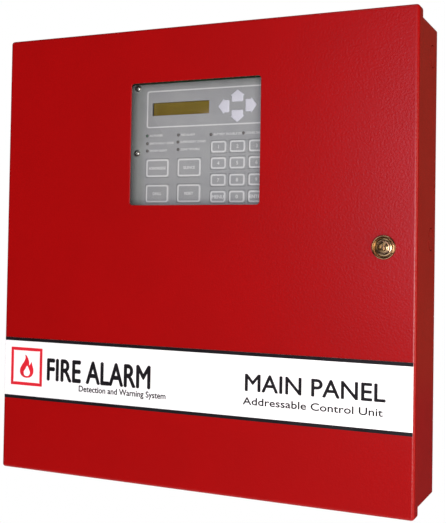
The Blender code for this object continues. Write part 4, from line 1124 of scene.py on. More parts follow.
@dataclass
class CamLock:
    """The brass cam lock: threaded body and nut on the door; plug, cam and screw that a key turns."""

    sides: int = 72
    bore: float = 0.0061
    barrel: float = 0.0095
    pitch: float = 0.00125
    thread: float = 0.00045
    plug: float = 0.006
    dome_face: tuple[tuple[float, float], ...] = (
        (0.0061, 0.0013), (0.00625, 0.0009), (0.0066, 0.0007), (0.0071, 0.0008), (0.0077, 0.0011),
        (0.0083, 0.0015), (0.0088, 0.002), (0.0091, 0.0021), (0.0094, 0.0015), (0.00965, 0.0008),
        (0.00995, 0.0003), (0.0103, 0.0001), (0.01065, 0.0003), (0.0109, 0.0007), (0.011, 0.0012),
        (0.011, 0.0024), (0.01085, 0.0027))
    plug_face: tuple[tuple[float, float], ...] = (
        (0.0001, 0.0013), (0.0021, 0.0013), (0.0025, 0.001), (0.0029, 0.0005), (0.00335, 0.0002),
        (0.0038, 0.0003), (0.0042, 0.0007), (0.0046, 0.001), (0.0052, 0.0011), (0.00575, 0.0011),
        (0.006, 0.0016))

    def __post_init__(self) -> None:
        """Take the lock's place and depths from the frame."""
        low, high = extent("lock_body")
        self.x, _, self.z = (low + high) / 2
        self.face, self.end = low[1], high[1]
        self.shoulder = extent("door_shell")[0][1] - 0.0003

    def body(self) -> Shape:
        """Return the body: the face's profile, then the barrel's thread and its end.

        The thread's radius is R - t |2 frac(y / pitch - a / 2 pi) - 1|, where R is the barrel's and t the
        thread's depth, and it fades out over one pitch at each end.
        """
        angle = 2 * np.pi * np.arange(self.sides) / self.sides
        face = [(np.full(self.sides, r), self.face + y) for r, y in self.dome_face]
        face += [(np.full(self.sides, self.barrel), self.shoulder)]
        y = np.linspace(self.shoulder + 0.0004, self.end - 0.0004, 84)
        phase = np.mod(y[:, None] / self.pitch - angle / (2 * np.pi), 1.0)
        fade = np.clip(np.minimum(y - y[0], y[-1] - y) / self.pitch, 0, 1)[:, None]
        radius = self.barrel - self.thread * np.abs(2 * phase - 1) * fade
        tail = [(np.full(self.sides, radius), self.end) for radius in (self.barrel - 0.0004, self.bore)]
        rows = face + list(zip(radius, y)) + tail
        return stacked([(polar(self.x, self.z, r, angle), height) for r, height in rows], loop=True)

    def turned(self, profile: Layers, sides: int = 48) -> Shape:
        """Return a profile turned about the lock's own line."""
        return revolved(profile, (self.x, 0, self.z), sides=sides)

    def keyway(self) -> Shape:
        """Return the slot's cutter, a wavy ward outline deep into the plug."""
        half = np.array(((-0.0007, -0.0031), (0.0007, -0.0031), (0.0007, -0.0012), (0.0003, -0.0007),
                         (0.0007, -0.0002), (0.0007, 0.0031), (-0.0007, 0.0031), (-0.0007, 0.0016),
                         (-0.0003, 0.0011), (-0.0007, 0.0006)))
        return prism(half + (self.x, self.z), ((0, self.face - 0.002), (0, self.face + 0.0054)))

    def cam_outline(self, low: float, hub: float, tip: float) -> Points:
        """Return two arcs joined by their tangents, the hub above and the tip below."""
        reach = self.z - low - tip
        lean = math.asin((hub - tip) / reach)
        upper = np.linspace(-lean, np.pi + lean, 25)
        lower = np.linspace(np.pi + lean, 2 * np.pi - lean, 13)
        return np.concatenate([polar(self.x, self.z, hub, upper), polar(self.x, self.z - reach, tip, lower)])

    def build(self) -> None:
        """Make the body and nut on the door, then what turns."""
        DOOR.add("lock_barrel", self.body(), BRASS, ("lock_body",), "brass", 40)
        low, high = extent("lock_nut")
        nut = hex_nut(self.x, self.z, high[0] - low[0], low[1], high[1], self.barrel + 0.0003)
        DOOR.add("lock_hex_nut", nut, ZINC, ("lock_nut",), "zinc_plate")
        _, plug_high = extent("lock_plug")
        cam_low, cam_high = extent("lock_cam")
        shoulder = cam_low[1] - 0.0003
        profile = [(r, self.face + y) for r, y in self.plug_face]
        profile += [(self.plug, shoulder - 0.0003), (self.plug - 0.0003, shoulder), (0.004, shoulder),
                    (0.004, plug_high[1] - 0.0002), (0.0038, plug_high[1])]
        LOCK_CORE.add("lock_key_plug", pierced(self.turned(profile), self.keyway()), BRASS, ("lock_plug",),
                      "brass")
        cam = slab(self.cam_outline(cam_low[2], 0.007, 0.0045), cam_low[1], cam_high[1], 0.0003)
        bore = self.turned(((0.0043, cam_low[1] - 0.001), (0.0043, cam_high[1] + 0.001)))
        LOCK_CORE.add("lock_cam_plate", pierced(cam, bore), ZINC, ("lock_cam",), "zinc_plate")
        self.screw()

    def screw(self) -> None:
        """Make the cam's screw: a low dome with a cross recess."""
        low, high = extent("cam_screw")
        head = high[1]
        under = head - 0.002
        profile = [(0.0018, low[1]), (0.0018, under), (0.0047, under), (0.0048, under + 0.0003),
                   (0.0047, under + 0.001), (0.004, head - 0.0005), (0.0028, head - 0.0001), (0.0012, head)]
        dug = cross_cut(self.turned(profile, 32), (self.x, self.z), (0.005, 0.0011), 0.0003,
                        (head - 0.0013, head + 0.001))
        LOCK_CORE.add("cam_fixing_screw", dug, ZINC, ("cam_screw",), "zinc_plate")


@dataclass
class Hinge:
    """One butt hinge: a leaf on the cabinet, a leaf on the door and the pin."""

    name: str
    knuckle: float = 0.0029
    sheet: float = 0.001
    gap: float = 0.0004          # between two knuckles, and between a knuckle and a flat
    play: float = 0.0001         # between the pin and a knuckle
    roll: float = math.radians(318)
    rivet: float = 0.0022

    def __post_init__(self) -> None:
        """Take the pin's line and the leaves' places from the frame."""
        low, high = extent("hinge_pin_" + self.name)
        self.pin_low, self.pin_high = low[2], high[2]
        self.x, self.y, self.z = (low + high) / 2
        self.leaf = extent("hinge_leaf_" + self.name)
        self.wing = extent("door_leaf_" + self.name)
        self.length = self.leaf[1][2] - self.leaf[0][2]

    def curl(self, side: float, tail: float, low: float, high: float) -> Shape:
        """Return a knuckle rolled from the sheet: an arc nearly all round, with a straight tail.

        Args:
            side: +1 where the tail runs towards the wall, -1 where it runs to the door's face.
            tail: how far it runs from the pin.
            low: the knuckle's lower end.
            high: its upper end.

        Returns:
            The closed shape.
        """
        angle = -side * np.linspace(0, self.roll, 25)
        arcs = [polar(self.x, self.y, self.knuckle, angle),
                polar(self.x, self.y, self.knuckle - self.sheet - self.play, angle[::-1])]
        end = self.y + side * tail
        straight = np.array([(arcs[1][-1][0], end), (arcs[0][0][0], end)])
        outline = np.concatenate(arcs + [straight])
        return prism(outline, ((0, low), (0, high)), Axis.Z)

    def spans(self) -> list[tuple[float, float]]:
        """Return the three knuckles' ends."""
        size = (self.length - 2 * self.gap) / 3
        starts = self.z - self.length / 2 + np.arange(3) * (size + self.gap)
        return [(start, start + size) for start in starts]

    def plate(self, extents: tuple[Points, Points], near: float, far: float, left: float) -> Shape:
        """Return a leaf's flat, rounded at its corners, seen along X."""
        low, high = extents
        outline = rounded((near + far) / 2, (low[2] + high[2]) / 2, abs(far - near), high[2] - low[2], 0.0015)
        return slab(outline, left, left + self.sheet, 0.0002, Axis.X)

    def build(self) -> None:
        """Make the cabinet's leaf with its rivets, the door's leaf, and the pin with domed heads."""
        first, middle, last = self.spans()
        clear = self.knuckle + self.gap
        right = self.leaf[1][0]
        flat = self.plate(self.leaf, self.y + clear, self.leaf[1][1], right - self.sheet)
        curls = [self.curl(1, clear + 0.001, *span) for span in (first, last)]
        CABINET.add("cabinet_leaf_" + self.name, [flat] + curls, ZINC, ("hinge_leaf_" + self.name,),
                    "zinc_plate")
        head = [(self.rivet, 0.0), (self.rivet * 0.95, -0.0003), (self.rivet * 0.7, -0.0006),
                (self.rivet * 0.2, -0.0008)]
        rivet = revolved(head, (right - self.sheet, 0, 0), Axis.X, 16)
        deep = (self.y + clear + self.leaf[1][1]) / 2
        rows = self.z + np.array([-1, 0, 1]) * self.length * 0.33
        CABINET.add("cabinet_rivets_" + self.name,
                    repeated(rivet, np.array([(0, deep, z) for z in rows])), NICKEL)
        door_flat = self.plate(self.wing, self.wing[0][1], self.y - clear, self.wing[1][0] - self.sheet)
        knuckle = self.curl(-1, clear + 0.001, *middle)
        low, high = self.wing
        tongue = brick((high[0] - self.sheet, self.y - clear - 0.001, middle[0]),
                       (high[0], self.y - 0.001, middle[1]), 0.0002)
        DOOR.add("door_leaf_plate_" + self.name, [door_flat, knuckle, tongue], ZINC,
                 ("door_leaf_" + self.name,), "zinc_plate")
        profile = [(0.0004, self.pin_low), (0.0014, self.pin_low + 0.0001), (0.0021, self.pin_low + 0.0005),
                   (0.0022, self.pin_low + 0.001), (0.00145, self.pin_low + 0.0011),
                   (0.00145, self.pin_high - 0.0011), (0.0022, self.pin_high - 0.001),
                   (0.0021, self.pin_high - 0.0005), (0.0014, self.pin_high - 0.0001),
                   (0.0004, self.pin_high)]
        pin = revolved(profile, (self.x, self.y, 0), Axis.Z, 20)
        CABINET.add("hinge_rod_" + self.name, pin, NICKEL, ("hinge_pin_" + self.name,), "zinc_plate")


# ---------------------------------------------------------------- cabinet

@dataclass
class Cabinet:
    """The folded tray with its knock-outs, wall fixings, board bosses and latch strike."""

    sheet: float = 0.0015
    lip: float = 0.01
    bend: float = 0.0018
    corner: float = 0.002
    flat_start: float = 0.0006
    slug: float = 0.0111
    slot: float = 0.0008
    tab: float = math.radians(12)
    slug_y: float = -0.02
    side_slugs: tuple[float, ...] = (0.195, 0.02)
    top_slugs: tuple[float, ...] = (-0.15, -0.05, 0.05, 0.15)
    keyhole: tuple[float, float, float, float] = (0.185, 0.195, 0.005, 0.0026)
    keyhole_rise: float = 0.01
    fixing: tuple[float, float] = (-0.19, 0.0025)
    boss: tuple[float, float] = (0.14, 0.006)
    boss_rows: tuple[float, float] = (0.028, 0.192)

    def __post_init__(self) -> None:
        """Take the tray's box from the frame."""
        self.low, self.high = extent("back_box")
        self.rim = self.low[1]

    def outline(self, inset: float) -> Points:
        """Return the tray's outline moved in."""
        width, _, height = self.high - self.low
        return rounded(0, 0, width - 2 * inset, height - 2 * inset, max(self.corner - inset, 0.0003))

    def bent(self, radius: float, inset: float, y: float, side: int,
             steps: int = 4) -> list[tuple[float, float]]:
        """Return (inset, y) points of a bend: r (1 - cos a) inwards, r (1 - sin a) back from its face."""
        angle = np.linspace(0, np.pi / 2, steps + 1)
        return [(inset + radius * (1 - math.cos(a)), y + side * radius * (1 - math.sin(a))) for a in angle]

    def tray(self) -> Shape:
        """Return the tray: outer back, walls, rim, lip, inner walls and inner back, both backs capped."""
        start, inner = self.flat_start, 0.0006
        lip = self.sheet + self.lip
        profile = [(self.bend + start, 0.0)] + self.bent(self.bend, 0, 0.0, -1)[::-1]
        profile += [(0, -self.bend - start), (0, self.rim + self.bend + start)]
        profile += self.bent(self.bend, 0, self.rim, 1)
        profile += [(self.bend + start, self.rim), (lip - 0.0006, self.rim),
                    (lip - 0.0002, self.rim + 0.0001),
                    (lip, self.rim + 0.0004), (lip, self.rim + self.sheet - 0.0002),
                    (lip - 0.0002, self.rim + self.sheet), (lip - 0.0006, self.rim + self.sheet),
                    (self.sheet + inner + start, self.rim + self.sheet)]
        profile += self.bent(inner, self.sheet, self.rim + self.sheet, 1, 2)[::-1]
        profile += [(self.sheet, self.rim + self.sheet + inner + start),
                    (self.sheet, -self.sheet - inner - start)]
        profile += self.bent(inner, self.sheet, -self.sheet, -1, 2)
        profile += [(self.sheet + inner + start, -self.sheet)]
        return stacked([(self.outline(inset), y) for inset, y in profile])

    def slots(self) -> Shape:
        """Return the cutters of the C-shaped slots round the slugs on both sides and the top."""
        cutters = []
        for half in (0.0, np.pi):
            angle = np.linspace(half + self.tab, half + np.pi - self.tab, 19)
            radius = np.concatenate([np.full(19, self.slug), np.full(19, self.slug - self.slot)])
            turn = np.concatenate([angle, angle[::-1]])
            u, v = radius * np.cos(turn), radius * np.sin(turn)
            for side in (-1, 1):
                wall = side * self.high[0]
                span = ((0, wall - 0.003), (0, wall + 0.003))
                cutters += [prism(np.stack([self.slug_y + u, z + v], -1), span, Axis.X)
                            for z in self.side_slugs]
            span = ((0, self.high[2] - 0.003), (0, self.high[2] + 0.003))
            cutters += [prism(np.stack([x + v, self.slug_y + u], -1), span, Axis.Z) for x in self.top_slugs]
        return joined(cutters)

    def fixings(self) -> Shape:
        """Return the cutters of the keyholes and the round holes in the back."""
        across, up, big, small = self.keyhole
        lean = math.asin(small / big)
        neck, around = np.linspace(0, np.pi, 9), np.linspace(np.pi / 2 + lean, 2.5 * np.pi - lean, 25)
        outline = np.concatenate([polar(0, up + self.keyhole_rise, small, neck), polar(0, up, big, around)])
        low, radius = self.fixing
        through = ((0, -0.004), (0, 0.002))
        return joined([prism(outline + (side * across, 0), through) for side in (-1, 1)]
                      + [prism(regular(side * across, low, radius, 24), through) for side in (-1, 1)])

    def build(self) -> None:
        """Make the tray, its bosses and studs, and the strike."""
        cutters = joined([self.slots(), self.fixings()])
        CABINET.add("cabinet_tray", pierced(self.tray(), cutters), RED, ("back_box",), "red_enamel", 30)
        across, radius = self.boss
        top = extent("main_board")[1][1]
        profile = ((radius + 0.001, -self.sheet + 0.0001), (radius + 0.0004, -self.sheet - 0.0007),
                   (radius - 0.0004, -self.sheet - 0.0012), (radius - 0.0006, top + 0.0006),
                   (radius - 0.001, top + 0.0002))
        bosses = repeated(revolved(profile, sides=24), both_sides(across, self.boss_rows))
        CABINET.add("board_bosses", bosses, ZINC, slot="zinc_plate")
        self.strike()
        self.earth_stud()

    def strike(self) -> None:
        """Make the angle that the cam turns behind, with a rolled bend, and its two rivets."""
        low, high = extent("latch_strike")
        wall, front, back, t = high[0], low[1], high[1], self.sheet
        angle = np.linspace(-np.pi / 2, 0, 7)
        bend, inner = (polar(wall - 2 * t, front + 2 * t, radius, angle) for radius in (2 * t, t))
        outline = np.concatenate([[(low[0], front)], bend, [(wall, back), (wall - t, back)], inner[::-1],
                                  [(low[0], front + t)]])
        angle_piece = prism(outline, eased(low[2], high[2], 0.0002, 1), Axis.Z)
        CABINET.add("strike_angle", angle_piece, ZINC, ("latch_strike",), "zinc_plate")
        dome = ((0.0024, 0.0), (0.0022, -0.0004), (0.0015, -0.0008), (0.0004, -0.001))
        rivet = revolved(dome, (wall - t, 0, 0), Axis.X, 16)
        places = [(0, back - 0.006, (low[2] + high[2]) / 2 + side * 0.014) for side in (-1, 1)]
        CABINET.add("strike_rivets", repeated(rivet, np.array(places)), NICKEL)

    def earth_stud(self) -> None:
        """Make the earth stud on the back wall, with its nut, washer and ring terminal."""
        x, z, back = 0.0, -0.03, -self.sheet
        stud = revolved(((0.0024, back), (0.0024, back - 0.013), (0.0018, back - 0.0138)), (x, 0, z),
                        sides=20)
        CABINET.add("earth_stud", [stud, hex_nut(x, z, 0.008, back - 0.0062, back - 0.003, 0.0025)], NICKEL)
        washer = sleeve(regular(x, z, 0.0052, 32), regular(x, z, 0.0026, 32), back - 0.0012,
                        back - 0.0002, 0.0002)
        tongue = slab(rounded(x, z, 0.009, 0.009, 0.0044), back - 0.0024, back - 0.0014, 0.0002)
        CABINET.add("earth_washer", [washer, tongue], STEEL)


# ---------------------------------------------------------------- keypad

@dataclass(frozen=True)
class KeyCap:
    """One key: its outline, its legend and the finish of its face."""

    node: str
    outline: Points
    legend: tuple[Words, ...] = ()
    arrow: bool = False


@dataclass
class Keypad:
    """The overlay plate behind the window, its keys, lamps, print and screws."""

    plate_ease: float = 0.0003
    proud: float = 0.0004
    gap: float = 0.0004
    swell: float = 0.00028       # how far a cap fills the gap round it
    flange: float = 0.0008
    fillet: float = 0.002
    arrow_centre: tuple[float, float] = (0.0335, 0.1511)
    arrow_reach: tuple[float, float] = (0.0208, 0.0162)
    arrow_sizes: tuple[float, float, float, float] = (0.0118, 0.0057, 0.0073, 0.006)
    function_size: tuple[float, float] = (0.0274, 0.0193)
    function_columns: tuple[float, float] = (-0.0557, -0.019)
    function_rows: tuple[float, float] = (0.0904, 0.064)
    number_size: tuple[float, float] = (0.0179, 0.0128)
    number_columns: tuple[float, float, float] = (0.0138, 0.0345, 0.0553)
    number_rows: tuple[float, ...] = (0.1105, 0.094, 0.077, 0.0602)
    display: tuple[float, float, float, float] = (-0.0304, 0.1516, 0.0655, 0.0135)
    border: tuple[float, float, float, float] = (0.0, 0.15155, 0.1386, 0.0387)
    lamps: tuple[tuple[float, float, str], ...] = (
        (-0.0685, 0.1243, "AC POWER"), (-0.0682, 0.1162, "EARTH FAULT ZONE"),
        (-0.0681, 0.1086, "SYSTEM SILENT"),
        (-0.032, 0.124, "FIRE ALARM"), (-0.0325, 0.1168, "SUPERVISORY ZONES"),
        (-0.0322, 0.1091, "ZONE TROUBLE"),
        (0.005, 0.1232, "BATTERY TROUBLE ZONE"), (0.0407, 0.1234, "ZONES DISABLED"))
    screws_x: float = 0.0802
    screws_z: tuple[float, ...] = (0.1744, 0.1064, 0.0384)

    def __post_init__(self) -> None:
        """Take the plate's place from the frame."""
        self.low, self.high = extent("keypad_plate")
        self.face, self.back = self.low[1], self.high[1]

    def arrow(self, turn: int) -> Points:
        """Return an arrow's outline, turned clockwise from +Z by quarter turns."""
        length, head, half, stem = self.arrow_sizes
        tip = self.arrow_reach[0 if turn % 2 else 1]
        upright = np.array([(-stem, tip - length), (stem, tip - length), (stem, tip - head),
                            (half, tip - head),
                            (0, tip), (-half, tip - head), (-stem, tip - head)])
        angle = -turn * np.pi / 2
        spin = np.array([[np.cos(angle), np.sin(angle)], [-np.sin(angle), np.cos(angle)]]).round()
        return upright @ spin + self.arrow_centre

    def block(self, names: Sequence[Sequence[str]], marks: Sequence[Sequence[str]], columns: Sequence[float],
              rows: Sequence[float], size: tuple[float, float], letter: float, widest: float) -> list[KeyCap]:
        """Return the keys of a rectangular group.

        Args:
            names: the frame's key names, row by row.
            marks: their legends.
            columns: the keys' centres across.
            rows: their centres up.
            size: a key's width and height.
            letter: the legend's height.
            widest: the width of a legend of eleven letters.

        Returns:
            One cap for each name.
        """
        caps = []
        for row, texts, z in zip(names, marks, rows):
            for name, text, x in zip(row, texts, columns):
                outline = rounded(x, z, *size, 0.0001, 1)[::2]
                span = widest * (len(text) + 1) / 12
                caps.append(KeyCap(name, outline,
                                   (Words(text, x, z - letter / 2, letter, span, Align.CENTRE, 0.04),)))
        return caps

    def caps(self) -> list[KeyCap]:
        """Return every key."""
        arrows = [KeyCap(name, self.arrow(turn), arrow=True)
                  for turn, name in enumerate(("key_up", "key_right", "key_down", "key_left"))]
        large = self.block((("key_acknowledge", "key_silence"), ("key_drill", "key_reset")),
                           (("ACKNOWLEDGE", "SILENCE"), ("DRILL", "RESET")),
                           self.function_columns, self.function_rows, self.function_size, 0.0027, 0.0195)
        small = self.block((("key_1", "key_2", "key_3"), ("key_4", "key_5", "key_6"),
                            ("key_7", "key_8", "key_9"),
                            ("key_star", "key_0", "key_hash")),
                           (("1", "2", "3"), ("4", "5", "6"), ("7", "8", "9"), ("MENU", "0", "ENTER")),
                           self.number_columns, self.number_rows, self.number_size, 0.0034, 0.0)
        return arrows + large + small

    def cap_shape(self, cap: KeyCap) -> Shape:
        """Return a key: a slightly crowned face, sides through the plate, and a flange behind it."""
        face, behind = self.face - self.proud, self.back + 0.0003
        layers = [(-0.0016, face), (-0.0007, face + 0.00002), (-0.0002, face + 0.0001),
                  (0.0001, face + 0.00025),
                  (self.swell, face + 0.0005), (self.swell, behind), (self.flange, behind),
                  (self.flange, behind + 0.0006)]
        fillet = 0.0009 if cap.arrow else self.fillet
        return stacked([(filleted(grown(cap.outline, grow), max(fillet + grow, 0.0004)), y)
                        for grow, y in layers])

    def plate(self) -> Mesh:
        """Return the plate with a rounded hole for each key, and the display's opening."""
        width, _, height = self.high - self.low
        middle = (self.low[2] + self.high[2]) / 2
        sheet = slab(rounded(0, middle, width, height, 0.003), self.face, self.back, self.plate_ease)
        through = ((0, self.face - 0.002), (0, self.back + 0.002))
        holes = [prism(filleted(grown(cap.outline, self.gap), self.fillet), through) for cap in self.caps()]
        x, z, wide, tall = self.display
        holes.append(prism(rounded(x, z, wide, tall, 0.0005), through))
        return pierced(sheet, joined(holes))

    def build(self) -> None:
        """Make the plate, its print and lamps, the keys and the screws."""
        CABINET.add("keypad_overlay", self.plate(), PLATE_GREY, ("keypad_plate",), "keypad_plate")
        x, z, wide, tall = self.border
        line = ring_line(rounded(x, z, wide, tall, 0.0001, 1)[::2], 0.0, 0.0013, self.face, 0.003)
        texts = [Words(text, px + 0.0028, pz - 0.00105, 0.0021, 0.0, Align.LEFT, 0.03).shape(self.face)
                 for px, pz, text in self.lamps]
        CABINET.add("keypad_print", [line] + texts, PALE_INK, slot="label_white")
        self.keys()
        self.lights()
        self.screws()

    def keys(self) -> None:
        """Make each key, and its printed outline and legend, on its own body."""
        for cap in self.caps():
            maker = Maker(cap.node)
            finish = ARROW_INK if cap.arrow else PLATE_GREY
            maker.add(cap.node + "_cap", self.cap_shape(cap), finish, (cap.node,), "key_grey")
            face = self.face - self.proud
            if cap.legend:
                line = ring_line(cap.outline, 0.0006, 0.0016, face, 0.0028)
                maker.add(cap.node + "_print", [line] + [words.shape(face) for words in cap.legend], PALE_INK)

    def lights(self) -> None:
        """Make the row of lamps: a small dome in a dark bezel ring beside each line of print."""
        places = np.array([(x, 0, z) for x, z, _ in self.lamps])
        dome = ((0.00115, 0.0002), (0.00115, -0.0001), (0.0009, -0.0004), (0.0005, -0.00055),
                (0.0001, -0.0006))
        lens = revolved([(r, self.face + y) for r, y in dome], sides=16)
        CABINET.add("lamps", repeated(lens, places[1:]), LAMP_OFF, slot="black_plastic")
        CABINET.add("power_lamp", lens.moved(places[0]), LAMP_GREEN)
        ring = sleeve(regular(0, 0, 0.0016, 20), regular(0, 0, 0.0012, 20), self.face - 0.00012,
                      self.face + 0.0001, 0.00004)
        CABINET.add("lamp_rings", repeated(ring, places), BLACK)

    def screws(self) -> None:
        """Make pan-head screws with washers where the plate meets its posts, and at mid height."""
        places = both_sides(self.screws_x, self.screws_z)
        pan = [(0.0013, 0.0004), (0.0027, 0.0002), (0.0028, -0.0004), (0.0024, -0.001), (0.0015, -0.0014),
               (0.0003, -0.0015)]
        head = revolved([(r, self.face + y) for r, y in pan], sides=20)
        dug = cross_cut(head, (0, 0), (0.003, 0.0007), 0.0002, (self.face - 0.003, self.face - 0.0006))
        CABINET.add("plate_screws", repeated(read(dug), places), NICKEL, slot="zinc_plate")
        washer = sleeve(regular(0, 0, 0.0036, 24), regular(0, 0, 0.0016, 24), self.face - 0.0004,
                        self.face + 0.00005, 0.0001)
        CABINET.add("plate_washers", repeated(washer, places), ZINC)


@dataclass
class DisplayModule:
    """The character display: glass in a metal bezel on its own small board."""

    view: tuple[float, float, float, float] = (-0.0304, 0.1516, 0.0648, 0.0136)
    bezel: tuple[float, float] = (0.0712, 0.0252)
    board_size: tuple[float, float] = (0.08, 0.036)
    board_t: float = 0.0016
    screw_inset: float = 0.0025

    def build(self) -> None:
        """Make the bezel, the film, the board and its corner screws."""
        low, high = extent("lcd_module")
        x, z, wide, tall = self.view
        front, back = low[1], high[1] - self.board_t / 2
        outer = rounded(x, z, *self.bezel, 0.0012)
        inner = rounded(x, z, wide, tall, 0.0004)
        shell = sections(((outer, 0, back - 0.0008), (outer, 0, front + 0.0008),
                          (outer, -0.0003, front + 0.0002),
                          (outer, -0.001, front), (inner, 0.0004, front), (inner, 0, front + 0.0003),
                          (inner, 0, front + 0.0016), (outer, -0.0006, front + 0.0016),
                          (outer, -0.0006, back - 0.0008)))
        CABINET.add("display_bezel", shell, BLACK_METAL, ("lcd_module",), "display_module")
        film = slab(rounded(x, z, wide + 0.002, tall + 0.002, 0.0004), front + 0.0012, front + 0.0022, 0.0001)
        CABINET.add("display_film", film, GLASS, slot="display_module")
        board = slab(rounded(x, z, *self.board_size, 0.001), back - self.board_t / 2,
                     back + self.board_t / 2, 0.0001)
        hold = brick((x - 0.034, front + 0.0023, z - 0.0105),
                     (x + 0.034, back - self.board_t / 2 - 0.0001, z + 0.0105), 0.0005)
        CABINET.add("display_board", board, BOARD, slot="circuit_board")
        CABINET.add("display_light_guide", hold, WHITE_BOX)
        screw = revolved([(0.0012, back), (0.0021, back - 0.0009), (0.0019, back - 0.0016),
                          (0.0004, back - 0.002)], sides=14)
        half_x, half_z = (length / 2 - self.screw_inset for length in self.board_size)
        CABINET.add("display_screws", repeated(screw, both_sides(half_x, (-half_z, half_z)) + (x, 0, z)),
                    NICKEL)


# ---------------------------------------------------------------- boards

class Face(Enum):
    """Which way parts on a board stand: +1 towards the wall, -1 towards the door."""

    WALL = 1
    DOOR = -1


@dataclass(frozen=True)
class Package:
    """A moulded chip with bent legs along its long sides."""

    width: float
    height: float
    deep: float
    legs: int

    def at(self, x: float, z: float, base: float, face: Face) -> tuple[Shape, Shape]:
        """Return the body and the legs of a chip that stands on a board.

        A leg is a strip carried from the body's side, out, down and along the board.

        Args:
            x: the chip's centre across.
            z: its centre up.
            base: the board's surface.
            face: which way it stands.

        Returns:
            The body and the legs.
        """
        way = face.value
        body = slab(rounded(x, z, self.width, self.height, 0.0003, 1), base + way * 0.0002,
                    base + way * self.deep, 0.0002)
        steps = np.array([(0.0, 0.5), (0.0006, 0.5), (0.0009, 0.08), (0.0016, 0.08)])
        out = self.height / 2 + steps[:, 0]
        lift = base + way * steps[:, 1] * self.deep
        half, thick = 0.00022, 0.00008
        corners = np.array([(-half, -thick), (half, -thick), (half, thick), (-half, thick)])
        rings = np.stack([corners[None, :, 0] + 0 * out[:, None], lift[:, None] + corners[None, :, 1],
                          0 * corners[None, :, 0] + out[:, None]], -1)
        mirrored = rings * (1, 1, -1)
        pair = joined([loft(rings), loft(mirrored)])
        across = np.linspace(-0.5, 0.5, self.legs) * (self.width - 0.0016)
        return body, repeated(pair, np.stack([x + across, 0 * across, z + 0 * across], -1))


@dataclass
class TerminalRow:
    """A long row of clamp terminals: one moulded pole repeated, with its screw and wire mouth."""

    node: str
    outward: int
    poles: int = 36

    def pole(self, width: float, base: float, deep: float, low: float, high: float) -> Shape:
        """Return one pole with a screw well in its front and a wire mouth in its outer side."""
        up = self.outward
        step = (low + high) / 2 + up * abs(high - low) * 0.15
        profile = np.array([(base, low), (base, high), (base - deep * 0.62, high), (base - deep, step),
                            (base - deep, low)])
        half = width / 2
        block = prism(profile, ((0.0, -half), (0.0, half)), Axis.X)
        middle = (low + step) / 2
        well = revolved(((0.0026, base - deep - 0.001), (0.0026, base - deep + 0.0022)), (0, 0, middle),
                        sides=16)
        mouth = prism(rounded(0, base - deep * 0.3, width * 0.62, deep * 0.36, 0.0006, 1),
                      ((0, high - up * 0.004), (0, high + up * 0.001)), Axis.Z)
        return read(pierced(block, joined([well, mouth])))

    def build(self) -> None:
        """Make the moulding, its screws and the marks of their slots."""
        low, high = extent(self.node)
        base, deep = high[1], high[1] - low[1]
        near, far = (low[2], high[2]) if self.outward > 0 else (high[2], low[2])
        pitch = (high[0] - low[0]) / self.poles
        places = np.array([(low[0] + pitch * (n + 0.5), 0, 0) for n in range(self.poles)])
        pole = self.pole(pitch - 0.0003, base, deep, near, far)
        step = (near + far) / 2 + self.outward * abs(far - near) * 0.15
        z = (near + step) / 2
        spine = brick((low[0], base - 0.002, low[2] + 0.0008),
                      (high[0], base - 0.0004, high[2] - 0.0008), 0.0003)
        CABINET.add(self.node + "_moulding", [repeated(pole, places), spine], GREEN, (self.node,),
                    "terminal_green", 25)
        front = base - deep + 0.0012
        head = revolved(((0.0021, front + 0.001), (0.0023, front + 0.0002), (0.002, front),
                         (0.0004, front - 0.0001)), (0, 0, z), sides=12)
        CABINET.add(self.node + "_screws", repeated(head, places), NICKEL, slot="zinc_plate")
        slot_mark = prism(rounded(0, z, 0.0038, 0.0006, 0.0001, 1),
                          ((0, front - 0.00012), (0, front + 0.0002)))
        CABINET.add(self.node + "_slots", repeated(slot_mark, places), BLACK_INK)


